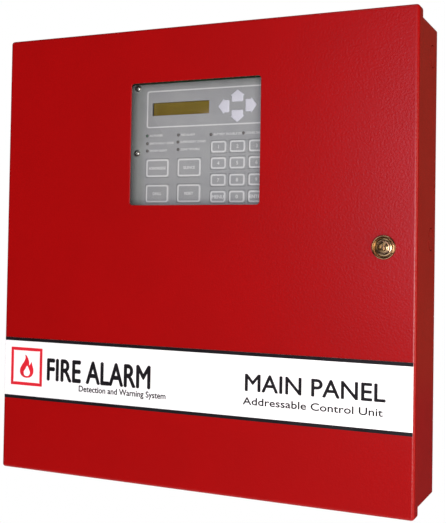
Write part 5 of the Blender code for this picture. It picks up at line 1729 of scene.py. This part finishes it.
@dataclass
class MainBoard:
    """The main circuit board's parts: chips, cans, relays, fuses, sockets, heat sink and sounder."""

    seed: int = 11
    chips: tuple[tuple[float, float, Package], ...] = (
        (0.01, 0.115, Package(0.02, 0.016, 0.0024, 22)), (-0.05, 0.13, Package(0.013, 0.0075, 0.0021, 10)),
        (-0.05, 0.095, Package(0.01, 0.006, 0.0018, 8)), (0.06, 0.115, Package(0.013, 0.0075, 0.0021, 10)),
        (0.01, 0.07, Package(0.018, 0.0095, 0.0024, 14)), (-0.035, 0.06, Package(0.01, 0.006, 0.0018, 8)),
        (0.085, 0.15, Package(0.01, 0.006, 0.0018, 8)), (0.085, 0.075, Package(0.01, 0.006, 0.0018, 8)))
    cans: tuple[tuple[float, float, float, float], ...] = (
        (-0.087, 0.065, 0.008, 0.022), (-0.087, 0.086, 0.008, 0.022), (-0.086, 0.115, 0.005, 0.013),
        (-0.068, 0.108, 0.004, 0.011), (0.035, 0.16, 0.005, 0.012), (0.132, 0.11, 0.006, 0.016),
        (0.132, 0.126, 0.004, 0.011), (-0.13, 0.15, 0.006, 0.015), (-0.114, 0.156, 0.0045, 0.012))
    relays: tuple[tuple[float, float], ...] = (
        (-0.06, 0.16), (-0.038, 0.16), (-0.016, 0.16), (0.006, 0.16))
    fuses: tuple[tuple[float, float], ...] = ((-0.122, 0.044), (-0.085, 0.044), (0.1, 0.046))
    screw_x: float = 0.14
    screw_rows: tuple[float, float] = (0.042, 0.176)

    def __post_init__(self) -> None:
        """Take the board's front face from the frame."""
        self.low, self.high = extent("main_board")
        self.face = self.low[1]

    def build(self) -> None:
        """Dress the board and make what stands on it."""
        CABINET.dress_node("main_board", BOARD)
        self.packages()
        self.capacitors()
        self.relay_row()
        self.fuse_row()
        self.small_parts()
        self.heat_sink()
        self.sounder()
        for node, outward in (("terminal_strip_lower", -1), ("terminal_strip_upper", 1)):
            TerminalRow(node, outward).build()

    def packages(self) -> None:
        """Make the chips, a shielded crystal and two pin headers."""
        made = [package.at(x, z, self.face, Face.DOOR) for x, z, package in self.chips]
        CABINET.add("board_chips", [body for body, _ in made], BLACK, slot="black_plastic")
        CABINET.add("board_chip_legs", [legs for _, legs in made], NICKEL)
        crystal = slab(rounded(0.033, 0.092, 0.011, 0.0046, 0.0022), self.face, self.face - 0.0038, 0.0005)
        CABINET.add("board_crystal", crystal, NICKEL)
        shells = [brick((x - w / 2, self.face - 0.0088, z - h / 2), (x + w / 2, self.face, z + h / 2), 0.0004)
                  for x, z, w, h in ((0.085, 0.056, 0.022, 0.006), (-0.104, 0.138, 0.018, 0.0064))]
        CABINET.add("board_headers", shells, WHITE_BOX)

    def capacitors(self) -> None:
        """Make the cans: a sleeved body with a crimp groove, and a bare top."""
        sleeves, tops = [], []
        for x, z, radius, tall in self.cans:
            base, top = self.face, self.face - tall
            profile = ((radius * 0.9, base), (radius, base - 0.0006), (radius, base - 0.0018),
                       (radius * 0.93, base - 0.0024),
                       (radius, base - 0.0031), (radius, top + 0.0006), (radius * 0.95, top + 0.0001),
                       (radius * 0.84, top))
            sleeves.append(revolved(profile, (x, 0, z), sides=28))
            tops.append(revolved(((radius * 0.8, top + 0.0002), (radius * 0.8, top - 0.00012),
                                  (radius * 0.3, top - 0.0002)), (x, 0, z), sides=28))
        CABINET.add("board_cans", sleeves, BLUE_BOX)
        CABINET.add("board_can_tops", tops, STEEL)

    def relay_row(self) -> None:
        """Make the relays with their raised lids."""
        body = brick((-0.0092, self.face - 0.015, -0.0075), (0.0092, self.face - 0.0002, 0.0075), 0.0006)
        lid = brick((-0.0082, self.face - 0.0153, -0.0065), (0.0082, self.face - 0.0148, 0.0065), 0.0005)
        places = np.array([(x, 0, z) for x, z in self.relays])
        CABINET.add("board_relays", repeated(joined([body, lid]), places), BLUE_BOX)

    def fuse_row(self) -> None:
        """Make glass fuses between spring clips."""
        centre = self.face - 0.0055
        glass = revolved(((0.0022, -0.007), (0.0025, -0.0066), (0.0025, 0.0066), (0.0022, 0.007)),
                         (0, centre, 0), Axis.X, 16)
        cap = revolved(((0.0026, 0.0), (0.0026, 0.005), (0.0022, 0.0054)), (0.005, centre, 0), Axis.X, 16)
        other = revolved(((0.0026, 0.0), (0.0026, -0.005), (0.0022, -0.0054)), (-0.005, centre, 0),
                         Axis.X, 16)
        clips = [brick((side * 0.0078 - 0.002, self.face - 0.007, z - 0.0003),
                       (side * 0.0078 + 0.002, self.face, z + 0.0003), 0.0002)
                 for side in (-1, 1) for z in (-0.0031, 0.0031)]
        places = np.array([(x, 0, z) for x, z in self.fuses])
        CABINET.add("board_fuse_glass", repeated(glass, places), WHITE_BOX)
        CABINET.add("board_fuse_ends", repeated(joined([cap, other] + clips), places), NICKEL)

    def small_parts(self) -> None:
        """Scatter chip resistors and capacitors on a grid, clear of the larger parts."""
        rng = np.random.default_rng(self.seed)
        grid = np.stack(np.meshgrid(np.arange(-0.098, 0.128, 0.0058), np.arange(0.052, 0.146, 0.0052)),
                        -1).reshape(-1, 2)
        big = np.array([(x, z, p.width / 2 + 0.003, p.height / 2 + 0.004) for x, z, p in self.chips]
                       + [(x, z, r + 0.002, r + 0.002) for x, z, r, _ in self.cans]
                       + [(x, z, 0.013, 0.007) for x, z in self.fuses]
                       + [(0.033, 0.092, 0.008, 0.005), (0.04, 0.072, 0.018, 0.008),
                          (0.085, 0.056, 0.014, 0.006),
                          (-0.104, 0.138, 0.012, 0.006), (0.12, 0.15, 0.014, 0.014),
                          (0.132, 0.11, 0.01, 0.01),
                          (0.0802, 0.0384, 0.006, 0.006), (-0.124, 0.081, 0.024, 0.029)])
        near = np.abs(grid[:, None] - big[None, :, :2]) < big[None, :, 2:] + 0.0015
        kept = grid[~near.all(-1).any(-1) & (rng.random(len(grid)) < 0.55)]
        kept = kept + rng.uniform(-0.0004, 0.0004, kept.shape)
        places = np.stack([kept[:, 0], 0 * kept[:, 0], kept[:, 1]], -1)
        body = prism(rounded(0, 0, 0.0013, 0.0012, 0.0001, 1), ((0, self.face), (0, self.face - 0.0006)))
        ends = joined([prism(rounded(side * 0.0009, 0, 0.0005, 0.0013, 0.0001, 1),
                             ((0, self.face), (0, self.face - 0.00065)))
                       for side in (-1, 1)])
        CABINET.add("board_small_parts", repeated(body, places), BLACK)
        CABINET.add("board_small_ends", repeated(ends, places), NICKEL)
        head = revolved(((0.0018, self.face), (0.0029, self.face - 0.0002), (0.003, self.face - 0.001),
                         (0.0022, self.face - 0.0019), (0.0004, self.face - 0.0022)), sides=18)
        CABINET.add("board_screws", repeated(head, both_sides(self.screw_x, self.screw_rows)), ZINC)

    def heat_sink(self) -> None:
        """Make the finned extrusion: each fin a rounded comb tooth, standing on a foot."""
        low, high = extent("heat_sink")
        fins, thick, base = 7, 0.0016, 0.003
        left = low[0] + np.arange(fins) * (high[0] - low[0] - thick) / (fins - 1)
        teeth = [slab(rounded(x + thick / 2, (low[1] + high[1]) / 2, thick, high[1] - low[1], 0.0005, 2),
                      low[2], high[2], 0.0002, Axis.Z) for x in left]
        foot = slab(rounded((low[0] + high[0]) / 2, high[1] - base / 2, high[0] - low[0], base, 0.0005, 2),
                    low[2], high[2], 0.0002, Axis.Z)
        CABINET.add("heat_sink_fins", teeth + [foot], BLACK_METAL, ("heat_sink",), "black_aluminium")

    def sounder(self) -> None:
        """Make the sounder's case with its step, and the ring of its hole."""
        low, high = extent("sounder")
        (x, _, z), radius = (low + high) / 2, (high[0] - low[0]) / 2
        front = low[1] + 0.002
        profile = ((radius, high[1]), (radius, front + 0.004), (radius * 0.97, front + 0.0036),
                   (radius * 0.97, front + 0.001),
                   (radius * 0.92, front), (radius * 0.3, front), (radius * 0.24, front - 0.0018),
                   (radius * 0.2, low[1]),
                   (radius * 0.1, low[1]), (radius * 0.09, front + 0.001))
        CABINET.add("sounder_case", revolved(profile, (x, 0, z), sides=40), BLACK, ("sounder",),
                    "black_plastic")


@dataclass
class KeypadBoard:
    """What shows on the back of the keypad's board: chips."""

    def build(self) -> None:
        """Dress the board and the posts, and make the parts on the board's back."""
        CABINET.dress_node("keypad_board", BOARD)
        for number in range(1, 5):
            CABINET.dress_node(f"keypad_post_{number}", NICKEL)
        back = extent("keypad_board")[1][1]
        small = Package(0.013, 0.0075, 0.0021, 10)
        made = [small.at(x, z, back, Face.WALL) for x, z in ((-0.04, 0.09), (0.01, 0.1), (-0.04, 0.115))]
        CABINET.add("keypad_board_chips", [body for body, _ in made], BLACK)
        CABINET.add("keypad_board_chip_legs", [legs for _, legs in made], NICKEL)


@dataclass
class FlatCable:
    """The ribbed cable between the boards: a ribbed section carried down a loop, with sockets at its ends."""

    sag: float = 0.024
    ribs: int = 20
    thick: float = 0.0009
    socket: tuple[float, float, float] = (0.029, 0.0062, 0.007)

    def build(self) -> None:
        """Make the cable and its two sockets.

        The loop is y from one board to the other and z = z0 - sag sin(pi t); across it the two faces
        swell as |sin| of the rib's phase.
        """
        low, high = extent("ribbon_cable")
        x, width = (low[0] + high[0]) / 2, high[0] - low[0]
        t = np.linspace(0, 1, 41)
        y = low[1] + (high[1] - low[1]) * t
        z = high[2] - self.thick * 0.6 - self.sag * np.sin(np.pi * t)
        along = np.stack([np.gradient(y), np.gradient(z)], -1)
        along /= np.linalg.norm(along, axis=1)[:, None]
        phase = np.linspace(0, 1, self.ribs * 4 + 1)
        swell = self.thick / 2 * (0.55 + 0.45 * np.abs(np.sin(np.pi * self.ribs * phase)))
        across = x - width / 2 + width * np.concatenate([phase, phase[::-1]])
        lift = np.concatenate([swell, -swell])
        rings = np.stack([np.broadcast_to(across, (41, len(across))),
                          y[:, None] - along[:, 1:] * lift, z[:, None] + along[:, :1] * lift], -1)
        CABINET.add("flat_cable", loft(rings), RIBBON, ("ribbon_cable",), "ribbon_grey")
        wide, tall, deep = self.socket
        ends = [brick((x - wide / 2, start, z[0] - tall / 2),
                      (x + wide / 2, start + deep, z[0] + tall / 2), 0.0004)
                for start in (low[1] - 0.0002, high[1] - deep + 0.0002)]
        CABINET.add("flat_cable_sockets", ends, BLACK, slot="black_plastic")


# ---------------------------------------------------------------- power

@dataclass
class Transformer:
    """The mains transformer: laminated core in a steel strap with feet, and its taped coil on a bobbin."""

    core: tuple[float, float, float] = (0.068, 0.057, 0.028)
    leg: float = 0.011
    window: tuple[float, float] = (0.0226, 0.034)
    strap: float = 0.002
    foot: float = 0.01
    flange: float = 0.0012
    bolt_inset: float = 0.0052

    def __post_init__(self) -> None:
        """Take the coil's box from the frame."""
        self.low, self.high = extent("transformer_coil")
        self.x, self.y, self.z = (self.low + self.high) / 2

    def build(self) -> None:
        """Make the core, the strap and bolts, the coil and its bobbin."""
        width, height, deep = self.core
        outline = rounded(self.x, self.z, width, height, 0.0012, 2)
        whole = slab(outline, self.y - deep / 2, self.y + deep / 2, 0.0003)
        across = self.window[0] - self.leg
        shift = (self.window[0] + self.leg) / 2
        holes = [prism(rounded(self.x + side * shift, self.z, across, self.window[1], 0.0004, 1),
                       ((0, self.y - deep), (0, self.y + deep))) for side in (-1, 1)]
        CABINET.add("core_stack", pierced(whole, joined(holes)), CORE, ("transformer_core",), "core_steel")
        self.strap_and_bolts()
        self.coil()

    def strap_and_bolts(self) -> None:
        """Make the feet, each a bent strip carried up the core's side, and four bolts."""
        width, height, deep = self.core
        wall, t = self.high[1], self.strap
        feet = []
        for side in (-1, 1):
            edge = self.x + side * width / 2
            line = np.array([(edge, self.y - deep / 2), (edge + side * t, self.y - deep / 2),
                             (edge + side * t, wall - t - 0.001), (edge + side * (t + 0.001), wall - t),
                             (edge + side * (t + self.foot), wall - t), (edge + side * (t + self.foot), wall),
                             (edge + side * 0.001, wall), (edge, wall - 0.001)])
            feet.append(prism(line[::side], ((0, self.z - height / 2), (0, self.z + height / 2)), Axis.Z))
        CABINET.add("core_feet", feet, ZINC, slot="zinc_plate")
        front = self.y - deep / 2
        bolt = joined([hex_nut(0, 0, 0.0055, front - 0.0024, front, 0.001),
                       revolved(((0.0012, front), (0.0012, front - 0.003), (0.0008, front - 0.0034)),
                                sides=12)])
        centre = np.array((self.x, 0, self.z))
        rise = height / 2 - self.bolt_inset
        CABINET.add("core_bolts",
                    repeated(bolt, both_sides(width / 2 - self.bolt_inset, (-rise, rise)) + centre), NICKEL)
        seat, rise = wall - t, height * 0.32
        screw = revolved(((0.0022, seat), (0.0034, seat - 0.0004), (0.003, seat - 0.0016),
                          (0.0006, seat - 0.0021)),
                         sides=16)
        places = both_sides(width / 2 + t + self.foot * 0.55, (-rise, rise)) + centre
        CABINET.add("core_foot_screws", repeated(screw, places), NICKEL)

    def coil(self) -> None:
        """Make the winding round the centre leg between two bobbin flanges."""
        wide, deep, _ = self.high - self.low
        hole, hole_fine = (rounded(self.x, self.y, 2 * self.leg + 0.0006, self.core[2] + 0.0006,
                                   0.0004, steps)
                           for steps in (1, 4))
        flange_edge = rounded(self.x, self.y, wide, deep, 0.002, 1)
        turns_edge = rounded(self.x, self.y, wide - 0.002, deep - 0.002, 0.007)
        turns = sleeve(turns_edge, hole_fine, self.low[2] + self.flange, self.high[2] - self.flange,
                       0.0006, Axis.Z)
        CABINET.add("coil_turns", turns, TAPE, ("transformer_coil",), "coil_tape")
        flanges = [sleeve(flange_edge, hole, low, low + self.flange, 0.0001, Axis.Z)
                   for low in (self.low[2], self.high[2] - self.flange)]
        CABINET.add("coil_bobbin", flanges, WHITE_BOX)


@dataclass
class Battery:
    """A sealed battery: case with a rebated lid, vent cover, tabs in wells, and plain rating print."""

    node: str
    tab_inset: float = 0.016
    tab: tuple[float, float, float] = (0.0048, 0.0008, 0.0065)
    corner: float = 0.003

    def build(self) -> None:
        """Make the case, the lid strip, the tabs with their collars, and the print."""
        low, high = extent(self.node)
        top = high[2] - self.tab[2]
        (x, y, _), (width, deep, _) = (low + high) / 2, high - low
        outline = rounded(x, y, width, deep, self.corner)
        seam = low[2] + (top - low[2]) * 0.84
        layers = [(-0.002, low[2]), (-0.0006, low[2] + 0.0004), (0.0, low[2] + 0.0018), (0.0, seam - 0.0016),
                  (-0.0001, seam - 0.0008), (-0.0008, seam - 0.0006), (-0.0008, seam),
                  (-0.0001, seam + 0.0002),
                  (0.0, seam + 0.001), (0.0, top - 0.002), (-0.0005, top - 0.0007), (-0.0018, top - 0.0002),
                  (-0.003, top - 0.0001)]
        CABINET.add(self.node + "_case", prism(outline, layers, Axis.Z), CASE, (self.node,), "black_plastic")
        cover = slab(rounded(x, y + 0.006, width * 0.62, deep * 0.42, 0.003), top - 0.0006, top + 0.0003,
                     0.0003, Axis.Z)
        CABINET.add(self.node + "_vent_cover", cover, BLACK)
        front = low[1] + self.tab_inset
        self.tabs(x, width, front, top)
        words = [Words("12 V  7 Ah", x, (low[2] + seam) / 2 + 0.006, 0.01, 0.0, Align.CENTRE, 0.01),
                 Words("SEALED RECHARGEABLE BATTERY", x, (low[2] + seam) / 2 - 0.012, 0.0042)]
        CABINET.add(self.node + "_print", [line.shape(low[1]) for line in words], PALE_INK)

    def tabs(self, x: float, width: float, y: float, top: float) -> None:
        """Make a pierced flat tab at each end, standing in a coloured collar."""
        wide, thick, tall = self.tab
        for side, name, finish in ((-1, "minus", BLACK), (1, "plus", WIRES["red"])):
            at = x + side * (width / 2 - self.tab_inset)
            blade = slab(rounded(at, top + tall / 2 - 0.0004, wide, tall + 0.0008, 0.0008), y - thick / 2,
                         y + thick / 2, 0.0001)
            hole = revolved(((0.0011, y - 0.002), (0.0011, y + 0.002)), (at, 0, top + tall * 0.55), sides=16)
            CABINET.add(f"{self.node}_tab_{name}", pierced(blade, hole), NICKEL, slot="zinc_plate")
            collar = sleeve(rounded(at, y, 0.012, 0.009, 0.002), rounded(at, y, 0.008, 0.005, 0.001),
                            top - 0.0002, top + 0.001, 0.0003, Axis.Z)
            CABINET.add(f"{self.node}_collar_{name}", collar, finish)


@dataclass
class Wiring:
    """Insulated leads as smooth tubes through their frame wires' waypoints, with crimp sleeves."""

    radius: float = 0.0015
    steps: int = 12

    def __post_init__(self) -> None:
        """Work out the leads' ends from the batteries, the coil and the lower terminal row."""
        strip_low, strip_high = extent("terminal_strip_lower")
        self.foot = strip_low[2] - 0.0003
        self.strip_y = strip_high[1] - (strip_high[1] - strip_low[1]) / 3
        left, right = extent("battery_left"), extent("battery_right")
        self.tab_y = left[0][1] + 0.016
        self.tab_top = left[1][2] + self.radius
        self.tab_x = [edge + shift for edge, shift in ((left[0][0], 0.016), (left[1][0], -0.016),
                                                       (right[0][0], 0.016), (right[1][0], -0.016))]
        coil_low, coil_high = extent("transformer_coil")
        self.coil = (coil_low[0] + coil_high[0]) / 2, coil_low[1], coil_high[2] + 0.0003

    def routes(self) -> dict[str, tuple[str, list[tuple[float, float, float]]]]:
        """Return each wire node's colour and waypoints."""
        y, top = self.tab_y, self.tab_top
        minus, left_plus, right_minus, plus = self.tab_x
        made = {
            "battery_jumper": ("blue", [
                (left_plus, y, top), (left_plus + 0.001, y, top + 0.012),
                (left_plus + 0.01, y - 0.002, top + 0.022),
                (0, y - 0.004, top + 0.026), (right_minus - 0.01, y - 0.002, top + 0.022),
                (right_minus - 0.001, y, top + 0.012), (right_minus, y, top)]),
            "battery_lead_black": ("black", [
                (minus, y, top), (minus, y, top + 0.012), (minus + 0.016, y + 0.01, top + 0.036),
                (-0.085, -0.03, -0.06), (-0.066, -0.024, -0.02), (-0.06, self.strip_y, self.foot - 0.012),
                (-0.06, self.strip_y, self.foot)]),
            "battery_lead_red": ("red", [
                (plus, y, top), (plus, y, top + 0.012), (plus - 0.018, y + 0.01, top + 0.036),
                (0.06, -0.03, -0.055), (-0.03, -0.024, -0.022), (-0.048, self.strip_y, self.foot - 0.012),
                (-0.048, self.strip_y, self.foot)])}
        x, front, up = self.coil
        for name, shift, colour in (("transformer_lead_a", -0.006, "yellow"),
                                    ("transformer_lead_b", 0.006, "blue")):
            end = -0.108 + shift
            made[name] = (colour, [
                (x + shift, front + 0.004, up), (x + shift, front + 0.003, up + 0.01),
                (x + shift + 0.012, front + 0.004, up + 0.024), (end - 0.01, -0.03, -0.01),
                (end, self.strip_y, self.foot - 0.012), (end, self.strip_y, self.foot)])
        return made

    def build(self) -> None:
        """Make every lead, then the sleeves on the battery tabs."""
        for node, (colour, knots) in self.routes().items():
            slot = "black_plastic" if colour == "black" else colour + "_insulation"
            CABINET.add(node + "_wire", tube(spline(knots, self.steps), self.radius), WIRES[colour],
                        (node,), slot)
        profile = ((0.0026, -0.0088), (0.0034, -0.008), (0.0036, -0.001), (0.003, 0.003), (0.0024, 0.0052),
                   (0.0018, 0.008))
        for number, (x, colour) in enumerate(zip(self.tab_x, ("black", "red", "black", "red"))):
            boot = revolved(profile, (x, self.tab_y, self.tab_top), Axis.Z, 20)
            CABINET.add(f"tab_boot_{number + 1}", boot, WIRES[colour])


# ---------------------------------------------------------------- studio

@dataclass(frozen=True)
class Softbox:
    """A soft rectangular lamp."""

    name: str
    place: tuple[float, float, float]
    aim: tuple[float, float, float]
    size: tuple[float, float]
    power: float
    colour: Colour = (1.0, 1.0, 1.0)

    def build(self) -> None:
        """Make the lamp and turn it to its aim."""
        lamp = bpy.data.lights.new(self.name, "AREA")
        lamp.shape, (lamp.size, lamp.size_y) = "RECTANGLE", self.size
        lamp.energy, lamp.color = self.power, self.colour
        item = bpy.data.objects.new(self.name, lamp)
        bpy.context.scene.collection.objects.link(item)
        item.location = self.place
        way = item.location - type(item.location)(self.aim)
        item.rotation_euler = way.to_track_quat("Z", "Y").to_euler()


@dataclass
class Studio:
    """Camera, lamps, surroundings and floor."""

    place: tuple[float, float, float] = (0.41224511, -0.91726442, 0.00538624)
    turn: tuple[float, float, float] = (91.4436, -0.9443, 24.6139)
    lens: float = 64.7724
    shift: float = -0.0646
    floor_z: float = -1.3
    floor_size: float = 4.0
    ambient: float = 0.055
    lamps: tuple[Softbox, ...] = (
        Softbox("sheen_lamp", (0.06, -2.3, 0.24), (0.05, 0.0, 0.0), (0.4, 0.8), 9.5, (0.98, 0.77, 1.0)),
        Softbox("front_lamp", (1.25, -2.75, -0.25), (0.0, 0.0, 0.0), (1.1, 1.1), 82.0),
        Softbox("side_lamp", (2.5, -0.55, -0.2), (0.0, 0.0, 0.0), (1.4, 1.8), 30.0, (1.0, 0.84, 0.66)),
        Softbox("upper_lamp", (0.2, -1.5, 2.3), (0.0, 0.0, 0.0), (1.5, 1.5), 12.0),
        Softbox("rear_lamp", (0.75, 2.2, 0.3), (0.0, 0.0, 0.0), (1.0, 1.6), 0.3, (1.0, 0.6, 0.1)),
        Softbox("back_lamp", (-1.1, 2.6, -0.42), (0.0, 0.0, 0.0), (1.8, 1.2), 95.0))

    def build(self) -> None:
        """Make the whole studio."""
        scene = bpy.context.scene
        scene.view_settings.view_transform = "Standard"
        camera = bpy.data.cameras.new("camera")
        camera.lens, camera.shift_y, camera.clip_start = self.lens, self.shift, 0.01
        item = bpy.data.objects.new("camera", camera)
        scene.collection.objects.link(item)
        item.location = self.place
        item.rotation_euler = [math.radians(angle) for angle in self.turn]
        scene.camera = item
        for lamp in self.lamps:
            lamp.build()
        self.surroundings()
        self.floor()

    def surroundings(self) -> None:
        """Make the world: even soft light on the panel, plain white to the eye."""
        world = bpy.data.worlds.new("surroundings")
        bpy.context.scene.world = world
        world.use_nodes = True
        bench = Bench(world.node_tree)
        light = world.node_tree.nodes["Background"]
        light.inputs["Color"].default_value = (1.0, 0.93, 0.85, 1.0)
        light.inputs["Strength"].default_value = self.ambient
        white = bench.add("Background", {"Color": (1.0, 1.0, 1.0), "Strength": 1.0})
        seen = bench.add("LightPath").outputs["Is Camera Ray"]
        mix = bench.add("MixShader", {0: seen, 1: light.outputs[0], 2: white.outputs[0]})
        bench.feed(world.node_tree.nodes["World Output"].inputs["Surface"], mix.outputs[0])

    def floor(self) -> None:
        """Make the pale floor far below the panel."""
        half = self.floor_size / 2
        sheet = prism(rounded(0, 0, 2 * half, 2 * half, 0.4, 6),
                      ((0, self.floor_z - 0.01), (0, self.floor_z)), Axis.Z)
        mesh = mesh_of("floor", sheet)
        mesh.materials.append(Backdrop("pale_floor").material())
        item = bpy.data.objects.new("floor", mesh)
        bpy.context.scene.collection.objects.link(item)


def main() -> None:
    """Build every sub-assembly in order."""
    logging.basicConfig(level=logging.INFO, format="%(name)s: %(message)s")
    Studio().build()
    Cabinet().build()
    for name in ("upper", "lower"):
        Hinge(name).build()
    Door().build()
    LabelBand().build()
    CamLock().build()
    Keypad().build()
    DisplayModule().build()
    KeypadBoard().build()
    FlatCable().build()
    MainBoard().build()
    Transformer().build()
    for node in ("battery_left", "battery_right"):
        Battery(node).build()
    Wiring().build()


if __name__ == "__main__":
    main()
